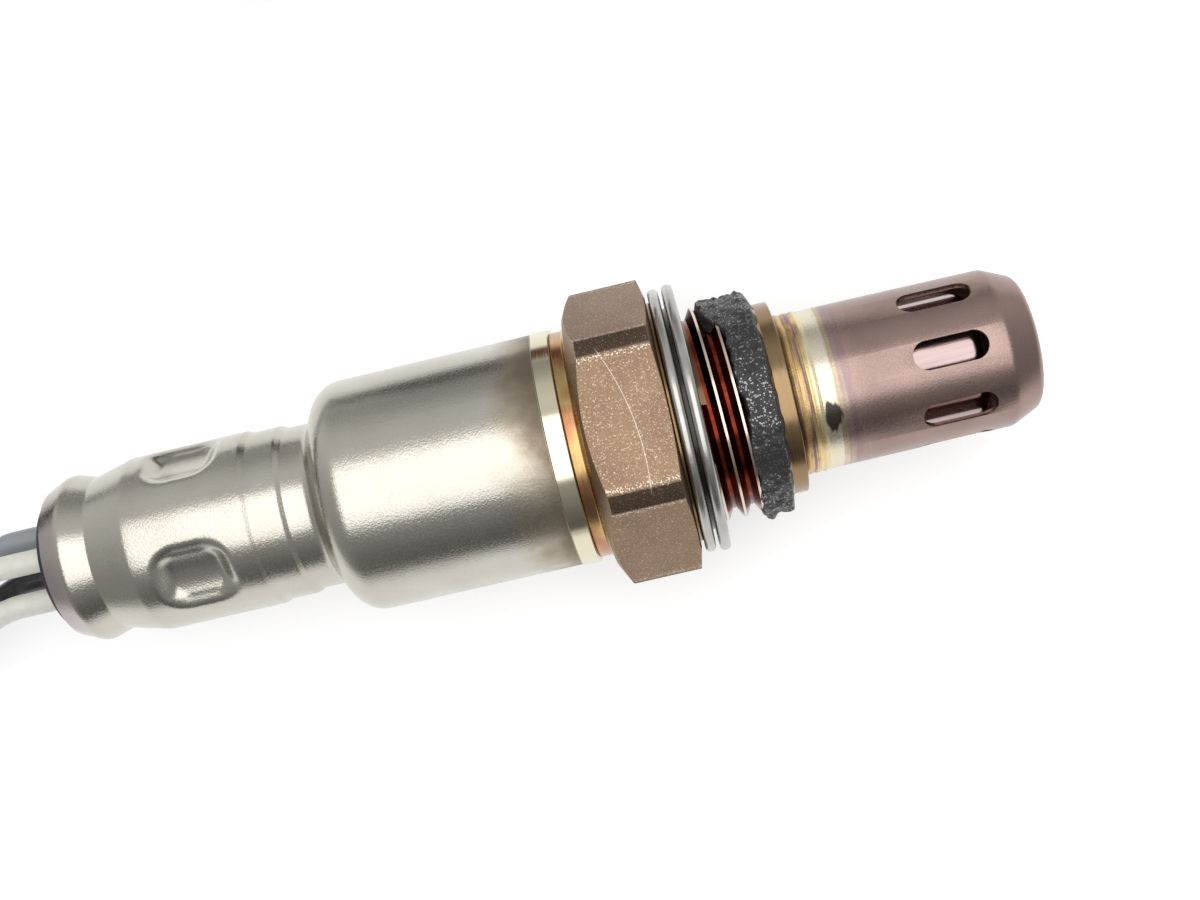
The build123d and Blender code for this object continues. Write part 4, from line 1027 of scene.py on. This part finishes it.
def grommet():
    """Rubber plug behind the casing, with its domed face and four wire holes."""
    skin = [p for p in casing_line(CASING_WALL + CLEAR) if p.x < GROMMET_FRONT]
    end_r = skin[-1].y
    front = [Vector((GROMMET_FRONT, 0)), Vector((GROMMET_FRONT, skin[0].y))]
    dome = [Vector((GROMMET_REAR + x, end_r - drop)) for x, drop in GROMMET_DOME]
    points = front + skin + dome + [Vector((GROMMET_REAR, 0))]
    piece = turned("grommet_plug", points, closed=False, steps=TURN_STEPS // 2)
    front_x = GROMMET_FRONT + OVERRUN
    for radius, rear in ((WIRE_HOLE_R, GROMMET_REAR - OVERRUN), (POCKET_R, POCKET_REAR)):
        bars = []
        for k in range(WIRE_COUNT):
            y, z = wire_place(k)
            deselect()
            bpy.ops.mesh.primitive_cylinder_add(
                vertices=HOLE_VERTICES, radius=radius * MM, depth=(front_x - rear) * MM,
                location=Vector(((front_x + rear) / 2, y, z)) * MM,
                rotation=(0, pi / 2, 0),
            )
            bpy.ops.object.transform_apply(location=True, rotation=True, scale=True)
            bars.append(bpy.context.object)
        cut(piece, join(bars))
    return piece


def compound_band(thickness, crest_r):
    """Lumpy closed band of dried compound, with ragged edges and crumbs pushed up at the
    two sides."""
    points = [Vector((COMPOUND_FRONT, COMPOUND_BORE_R))]
    points += stretch(COMPOUND_FRONT, COMPOUND_REAR, crest_r, COMPOUND_STEP)
    points += [Vector((COMPOUND_REAR, COMPOUND_BORE_R))]
    piece = turned("compound_band", points, steps=2 * TURN_STEPS)
    for v in piece.data.vertices:
        x, y, z = v.co / MM
        radius = Vector((y, z)).length
        way = Vector((0, y, z)) / radius
        share = (COMPOUND_FRONT - x) / (COMPOUND_FRONT - COMPOUND_REAR)
        wander = noise.noise(way * 3.0) * 0.5 + noise.noise(way * 11.0) * 0.22
        back = COMPOUND_REACH * smooth(way.y * 3 - 1.6) + wander
        x -= share * back - (1 - share) * noise.noise(way * 7.0 + way.yzx) * 0.2
        if radius > COMPOUND_BORE_R + 0.1:
            here = Vector((x, y, z))
            lump = noise.noise(here * 0.8) * 0.7 + noise.noise(here * 1.7) * 0.3
            crumb = max(noise.noise(here * 0.9), 0) + max(noise.noise(here * 1.9), 0) * 0.4
            pile = smooth(abs(way.y) * 5 - 3.9)
            end = 1 - smooth((abs(2 * share - 1) - 0.78) / 0.22)
            rise = thickness / MM * (1 + lump) + pile * crumb * 0.6
            radius = COMPOUND_BORE_R + (radius - COMPOUND_BORE_R + rise) * end
        v.co = Vector((x, way.y * radius, way.z * radius)) * MM
    return piece


def wire_place(index):
    """The y and z of one of the four wires in the grommet."""
    angle = radians(WIRE_ANGLE + 360 / WIRE_COUNT * index)
    return WIRE_CIRCLE_R * sin(angle), WIRE_CIRCLE_R * cos(angle)


def cord(name, points, diameter):
    """A smooth cord along control points in millimetres."""
    curve = bpy.data.curves.new(name, "CURVE")
    curve.dimensions = "3D"
    spline = curve.splines.new("NURBS")
    spline.points.add(len(points) - 1)
    for point, place in zip(spline.points, points):
        point.co = (*(Vector(place) * MM), 1.0)
    spline.order_u = 3
    spline.use_endpoint_u = True
    spline.resolution_u = CORD_STEPS
    curve.bevel_depth = diameter / 2
    curve.bevel_resolution = CORD_ROUNDNESS
    curve.use_fill_caps = True
    piece = bpy.data.objects.new(name, curve)
    bpy.context.scene.collection.objects.link(piece)
    return piece


def wire_route(index):
    """One wire: straight out of the grommet, down to the table and into the sleeve."""
    y, z = wire_place(index)
    side_y, side_z = [(1, 1), (1, -1), (-1, -1), (-1, 1)][index]
    mouth = (LEAD_Y + side_y * BUNDLE, SLEEVE_Z + side_z * BUNDLE)
    return [
        (WIRE_START, y, z),
        (WIRE_STRAIGHT, y, z),
        (WIRE_BEND, y, z),
        (WIRE_LANDING, *mouth),
        (MOUTH_X, *mouth),
    ]


def sleeve_route():
    """The sleeve: into the coil, once and a half round while it climbs on itself, and out
    to the plug."""
    points = [(MOUTH_X, LEAD_Y, SLEEVE_Z)]
    step = 2 * pi / COIL_POINTS
    reach = COIL_R / cos(step / 2)
    for k in range(-1, int(COIL_TURNS * COIL_POINTS) + 1):
        angle = -pi / 2 - step * (k + 0.5)
        start, end = COIL_CLIMB
        rise = COIL_RISE * smooth((k / COIL_POINTS - start) / (end - start))
        points.append((COIL_X + reach * cos(angle), COIL_Y + reach * sin(angle), SLEEVE_Z + rise))
    return points + [(x, COIL_Y + COIL_R, z) for x, z in SLEEVE_TAIL]


def finer(node, edge=0.12):
    """A merged copy of a moulded CAD node with its edges softened."""
    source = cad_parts[node]
    piece = bpy.data.objects.new(node + "_moulding", source.data.copy())
    bpy.context.scene.collection.objects.link(piece)
    activate(piece)
    bpy.ops.object.mode_set(mode="EDIT")
    bpy.ops.mesh.select_all(action="SELECT")
    bpy.ops.mesh.remove_doubles(threshold=MERGE * MM)
    bpy.ops.mesh.dissolve_limited(angle_limit=MOULDING_FLAT)
    bpy.ops.object.mode_set(mode="OBJECT")
    soften(piece, edge, MOULDING_SHARP, 2)
    return piece


def plug_pieces():
    """Dresses the plug, its boot and seals and the ring at the sleeve's mouth, and gives
    all the pieces that go with the sleeve's end."""
    # Black with a faint moulded grain and a dull shine
    black = moulded(
        "Moulded glass-filled nylon", "#24252a", "#1a1b1f", 0.3, 0.01, 0.42,
    )
    boot = moulded_rubber()
    # Black and a little waxy, with the slight waves of a tube shrunk on
    shrunk = moulded("Shrunk polyolefin tube", "#202126", "#191a1d", 0.8, 0.02, 0.48)
    # Rust orange with a soft sheen
    silicone = moulded("Moulded silicone", "#c4602e", "#b65426", 0.4, 0.01, 0.45)
    # Light grey satin
    lock = moulded("Moulded polyester", "#9d9fa3", "#8e9094", 0.3, 0.01, 0.4)
    # Pale and softly bright
    tin = moulded(
        "Tin-plated brass", "#dcdbd6", "#c9c8c4", 0.5, 0.004, 0.32, metallic=1.0,
    )
    pieces = []
    for node, material, slot, edge in (
        ("sleeve_cap", shrunk, "shrink_tube", 0.15),
        ("connector_boot", boot, "grommet_rubber", 0.3),
        ("connector_housing", black, "connector_plastic", 0.2),
        ("ring_seal", silicone, "seal_silicone", 0.12),
    ):
        pieces.append(dress(finer(node, edge), material, slot, node))
    for node, material in (
        ("wire_seal", silicone), ("contact_lock", lock), ("contact_1", tin),
        ("contact_2", tin), ("contact_3", tin), ("contact_4", tin),
    ):
        pieces.append(paint(node, material))
    return pieces


def paint(node, material):
    """Gives a CAD node, whose mesh stays as it is, its material."""
    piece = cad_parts[node]
    piece.data.materials.clear()
    piece.data.materials.append(material)
    return piece


def place_camera(scene):
    """Puts the camera where the photo was taken from."""
    place, target = Vector(CAMERA_PLACE), Vector(CAMERA_TARGET)
    ahead = (target - place).normalized()
    right = ahead.cross(Vector(CAMERA_UP)).normalized()
    turn = Matrix((right, right.cross(ahead), -ahead)).transposed().to_4x4()
    bpy.ops.object.camera_add()
    camera = bpy.context.object
    camera.matrix_world = Matrix.Translation(place * MM) @ turn
    camera.data.lens = CAMERA_LENS
    camera.data.sensor_width = SENSOR_WIDTH
    camera.data.clip_start = CAMERA_CLIP
    scene.camera = camera


def softbox(name, place, sides, radiance):
    """An even rectangular light of a given radiance, turned to face the origin. Its place
    and sides are in metres."""
    deselect()
    bpy.ops.object.light_add(type="AREA", location=place)
    light = bpy.context.object
    light.name = name
    light.rotation_euler = (-atan2(place[1], place[2]), 0, 0)
    light.data.shape = "RECTANGLE"
    light.data.size, light.data.size_y = sides
    light.data.energy = radiance * pi * sides[0] * sides[1]


def studio_room():
    """A room that is dim low down on the -Y side, grows paler overhead and beyond, and is
    rather dim again low down on the +Y side."""
    world = bpy.data.worlds.new("studio room")
    world.use_nodes = True
    tree = world.node_tree
    way = add(tree, "TexCoord", out="Generated")
    side = add(tree, "SeparateXYZ", {0: way}, out="Y")
    share = add(tree, "MapRange", {0: side, 1: -1.0, 2: 1.0})
    tone = add(tree, "ValToRGB", {0: share}, stops=ROOM_TONES)
    background = tree.nodes["Background"]
    tree.links.new(tone, background.inputs["Color"])
    return world


def pale_card():
    """Matt pale card with a painted pool of light: it glows white round the sensor and
    fades further out.
    """
    f = Finish("Matt pale card", Roughness=0.8, Specular_IOR_Level=0.2)
    away = f.add("VectorMath", {0: f.place, 1: GLOW_PLACE}, out="Value", operation="DISTANCE")
    # Painted light: the card's own glow, full round the sensor and fading away from it
    glow = f.add("MapRange", {0: away, 1: GLOW_EDGE[0], 2: GLOW_EDGE[1], 3: GLOW, 4: 0.0},
                 interpolation_type="SMOOTHSTEP")
    return f.set(
        Base_Color=linear("#d6d6d6"), Emission_Color=linear("#ffffff"), Emission_Strength=glow,
    ).material


class SENSOR_OT_stage(bpy.types.Operator):
    """Sets the camera, a pale floor and soft studio light round the sensor."""

    bl_idname = "sensor.stage"
    bl_label = "Camera, floor and light"

    def execute(self, context):
        scene = context.scene
        place_camera(scene)
        deselect()
        bpy.ops.mesh.primitive_plane_add(size=FLOOR_SIZE * MM, location=(0, 0, FLOOR_Z * MM))
        floor = bpy.context.object
        floor.name = "floor"
        floor.data.materials.append(pale_card())
        floor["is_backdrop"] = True
        softbox("overhead softbox", SOFTBOX_PLACE, SOFTBOX_SIZE, SOFTBOX_RADIANCE)
        scene.world = studio_room()
        scene.view_settings.view_transform = "Standard"
        return {"FINISHED"}


class SENSOR_OT_shell(bpy.types.Operator):
    """Makes the steel shell with its hexagon, collars and thread."""

    bl_idname = "sensor.shell"
    bl_label = "Metal shell"

    def execute(self, context):
        sizes, colours = context.scene.sensor_sizes, context.scene.sensor_colours
        dress(shell_body(), tinted_collar(), "shell_steel", "metal_shell")
        dress(hexagon(sizes.hexagon), blasted_hexagon(colours), "shell_steel", "metal_shell")
        turns = thread(sizes.thread / MM, sizes.pitch / MM)
        dress(turns, greased_thread(), "shell_steel", "metal_shell")
        return {"FINISHED"}


class SENSOR_OT_compound(bpy.types.Operator):
    """Makes the dried anti-seize compound on the thread."""

    bl_idname = "sensor.compound"
    bl_label = "Anti-seize compound"

    def execute(self, context):
        sizes = context.scene.sensor_sizes
        band = compound_band(sizes.compound, sizes.thread / 2 / MM)
        dress(band, dried_compound(context.scene.sensor_colours), "shell_steel")
        return {"FINISHED"}


class SENSOR_OT_gasket(bpy.types.Operator):
    """Makes the folded sealing gasket."""

    bl_idname = "sensor.gasket"
    bl_label = "Sealing gasket"

    def execute(self, context):
        dress(gasket(), rolled_strip(), "gasket_steel", "sealing_gasket")
        return {"FINISHED"}


class SENSOR_OT_shields(bpy.types.Operator):
    """Makes the slotted outer shield and the plain inner one."""

    bl_idname = "sensor.shields"
    bl_label = "Probe shields"

    def execute(self, context):
        sizes, colours = context.scene.sensor_sizes, context.scene.sensor_colours
        cup = outer_shield(sizes.slot)
        dress(cup, heat_tinted_shield(colours), "shield_steel", "outer_shield")
        dress(inner_shield(), tinted_inner_shield(), "inner_steel", "inner_shield")
        return {"FINISHED"}


class SENSOR_OT_casing(bpy.types.Operator):
    """Makes the drawn casing and the rubber plug in its rear end."""

    bl_idname = "sensor.casing"
    bl_label = "Casing"

    def execute(self, context):
        sizes, colours = context.scene.sensor_sizes, context.scene.sensor_colours
        dress(casing(sizes.dimple), drawn_stainless(colours), "casing_steel", "outer_casing")
        dress(grommet(), moulded_rubber(), "grommet_rubber", "grommet")
        return {"FINISHED"}


class SENSOR_OT_inside(bpy.types.Operator):
    """Gives the pieces inside the sensor their materials."""

    bl_idname = "sensor.inside"
    bl_label = "Inner pieces"

    def execute(self, context):
        # Chalk white and dry
        ceramic = moulded("Sintered alumina", "#e9e6dc", "#dedacd", 0.2, 0.01, 0.55)
        # Cream and dry
        element = moulded("Sintered zirconia", "#e6e1d2", "#d8d1be", 0.2, 0.01, 0.5)
        # Pale grey powder without any shine
        talc = moulded("Pressed talc powder", "#d4d3ca", "#c3c2b8", 0.15, 0.03, 0.8)
        # Grey with the soft shine of rolled sheet
        steel = moulded(
            "Stamped steel", "#c9c7c2", "#b2b0ab", 0.4, 0.006, 0.34, metallic=1.0,
        )
        # Warm, pale and rather bright
        nickel = moulded(
            "Stamped nickel", "#d6cfbf", "#c4bba9", 0.3, 0.004, 0.3, metallic=1.0,
        )
        # Milky white and waxy
        fluoroplastic = moulded("Moulded fluoroplastic", "#ebe8e1", "#e0ddd5", 0.3, 0.01, 0.4)
        for material, nodes in (
            (element, ["sensing_element"]),
            (ceramic, ["heater_rod", "ceramic_bush", "contact_holder"]),
            (talc, ["powder_seal"]),
            (steel, ["seat_washer", "crimp_ring", "spring_sleeve"]),
            (nickel, ["signal_terminal", "ground_terminal", "heater_terminal_a",
                      "heater_terminal_b"]),
            (fluoroplastic, ["wire_guide"]),
        ):
            for node in nodes:
                paint(node, material)
        return {"FINISHED"}


class SENSOR_OT_lead(bpy.types.Operator):
    """Makes the four wires, the sleeve over them and the plug."""

    bl_idname = "sensor.lead"
    bl_label = "Lead and plug"

    def execute(self, context):
        sizes, colours = context.scene.sensor_sizes, context.scene.sensor_colours
        plug = plug_pieces()
        sleeve = cord("sleeve", sleeve_route(), sizes.sleeve)
        dress(sleeve, woven_glass_sleeve(colours), "woven_sleeve", "sleeve_coil", "sleeve_tail")
        # Node, slot, colour and length in millimetres of each wire
        wires = (
            ("wire_white_b", "white_insulation", colours.wire_white, 46.6),
            ("wire_grey", "grey_insulation", colours.wire_grey, 46.8),
            ("wire_black", "black_insulation", colours.wire_black, 45.7),
            ("wire_white_a", "white_insulation", colours.wire_white, 45.4),
        )
        for index, (node, slot, shade, length) in enumerate(wires):
            wire = cord(node + "_cord", wire_route(index), sizes.wire)
            finish = extruded_insulation("Extruded insulation " + node[5:], shade)
            dress(wire, finish, slot, node)
            y, z = wire_place(index)
        return {"FINISHED"}


OPERATORS = (
    SENSOR_OT_stage,
    SENSOR_OT_lead,
    SENSOR_OT_shell,
    SENSOR_OT_compound,
    SENSOR_OT_gasket,
    SENSOR_OT_shields,
    SENSOR_OT_casing,
    SENSOR_OT_inside,
)


class SENSOR_PT_panel(bpy.types.Panel):
    """Lists the sensor's sizes, colours and pieces."""

    bl_idname = "SENSOR_PT_panel"
    bl_label = "Oxygen Sensor"
    bl_space_type = "VIEW_3D"
    bl_region_type = "UI"
    bl_category = "Sensor"

    def draw(self, context):
        for group in (context.scene.sensor_sizes, context.scene.sensor_colours):
            for name in group.__annotations__:
                self.layout.prop(group, name)
        for operator in OPERATORS:
            self.layout.operator(operator.bl_idname)


CLASSES = (SensorSizes, SensorColours, *OPERATORS, SENSOR_PT_panel)


def register():
    """Registers the classes and gives the scene its sizes and colours."""
    for kind in CLASSES:
        bpy.utils.register_class(kind)
    bpy.types.Scene.sensor_sizes = PointerProperty(type=SensorSizes)
    bpy.types.Scene.sensor_colours = PointerProperty(type=SensorColours)


def unregister():
    """Takes back what register did."""
    del bpy.types.Scene.sensor_colours
    del bpy.types.Scene.sensor_sizes
    for kind in reversed(CLASSES):
        bpy.utils.unregister_class(kind)


def main():
    """Builds the whole scene."""
    register()
    for operator in OPERATORS:
        group, name = operator.bl_idname.split(".")
        getattr(getattr(bpy.ops, group), name)()
    boxes = {"cad": CAD_BOX, "visual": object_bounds()}
    {k: [list(corner) for corner in box] for k, box in boxes.items()}


if __name__ == "__main__":
    main()
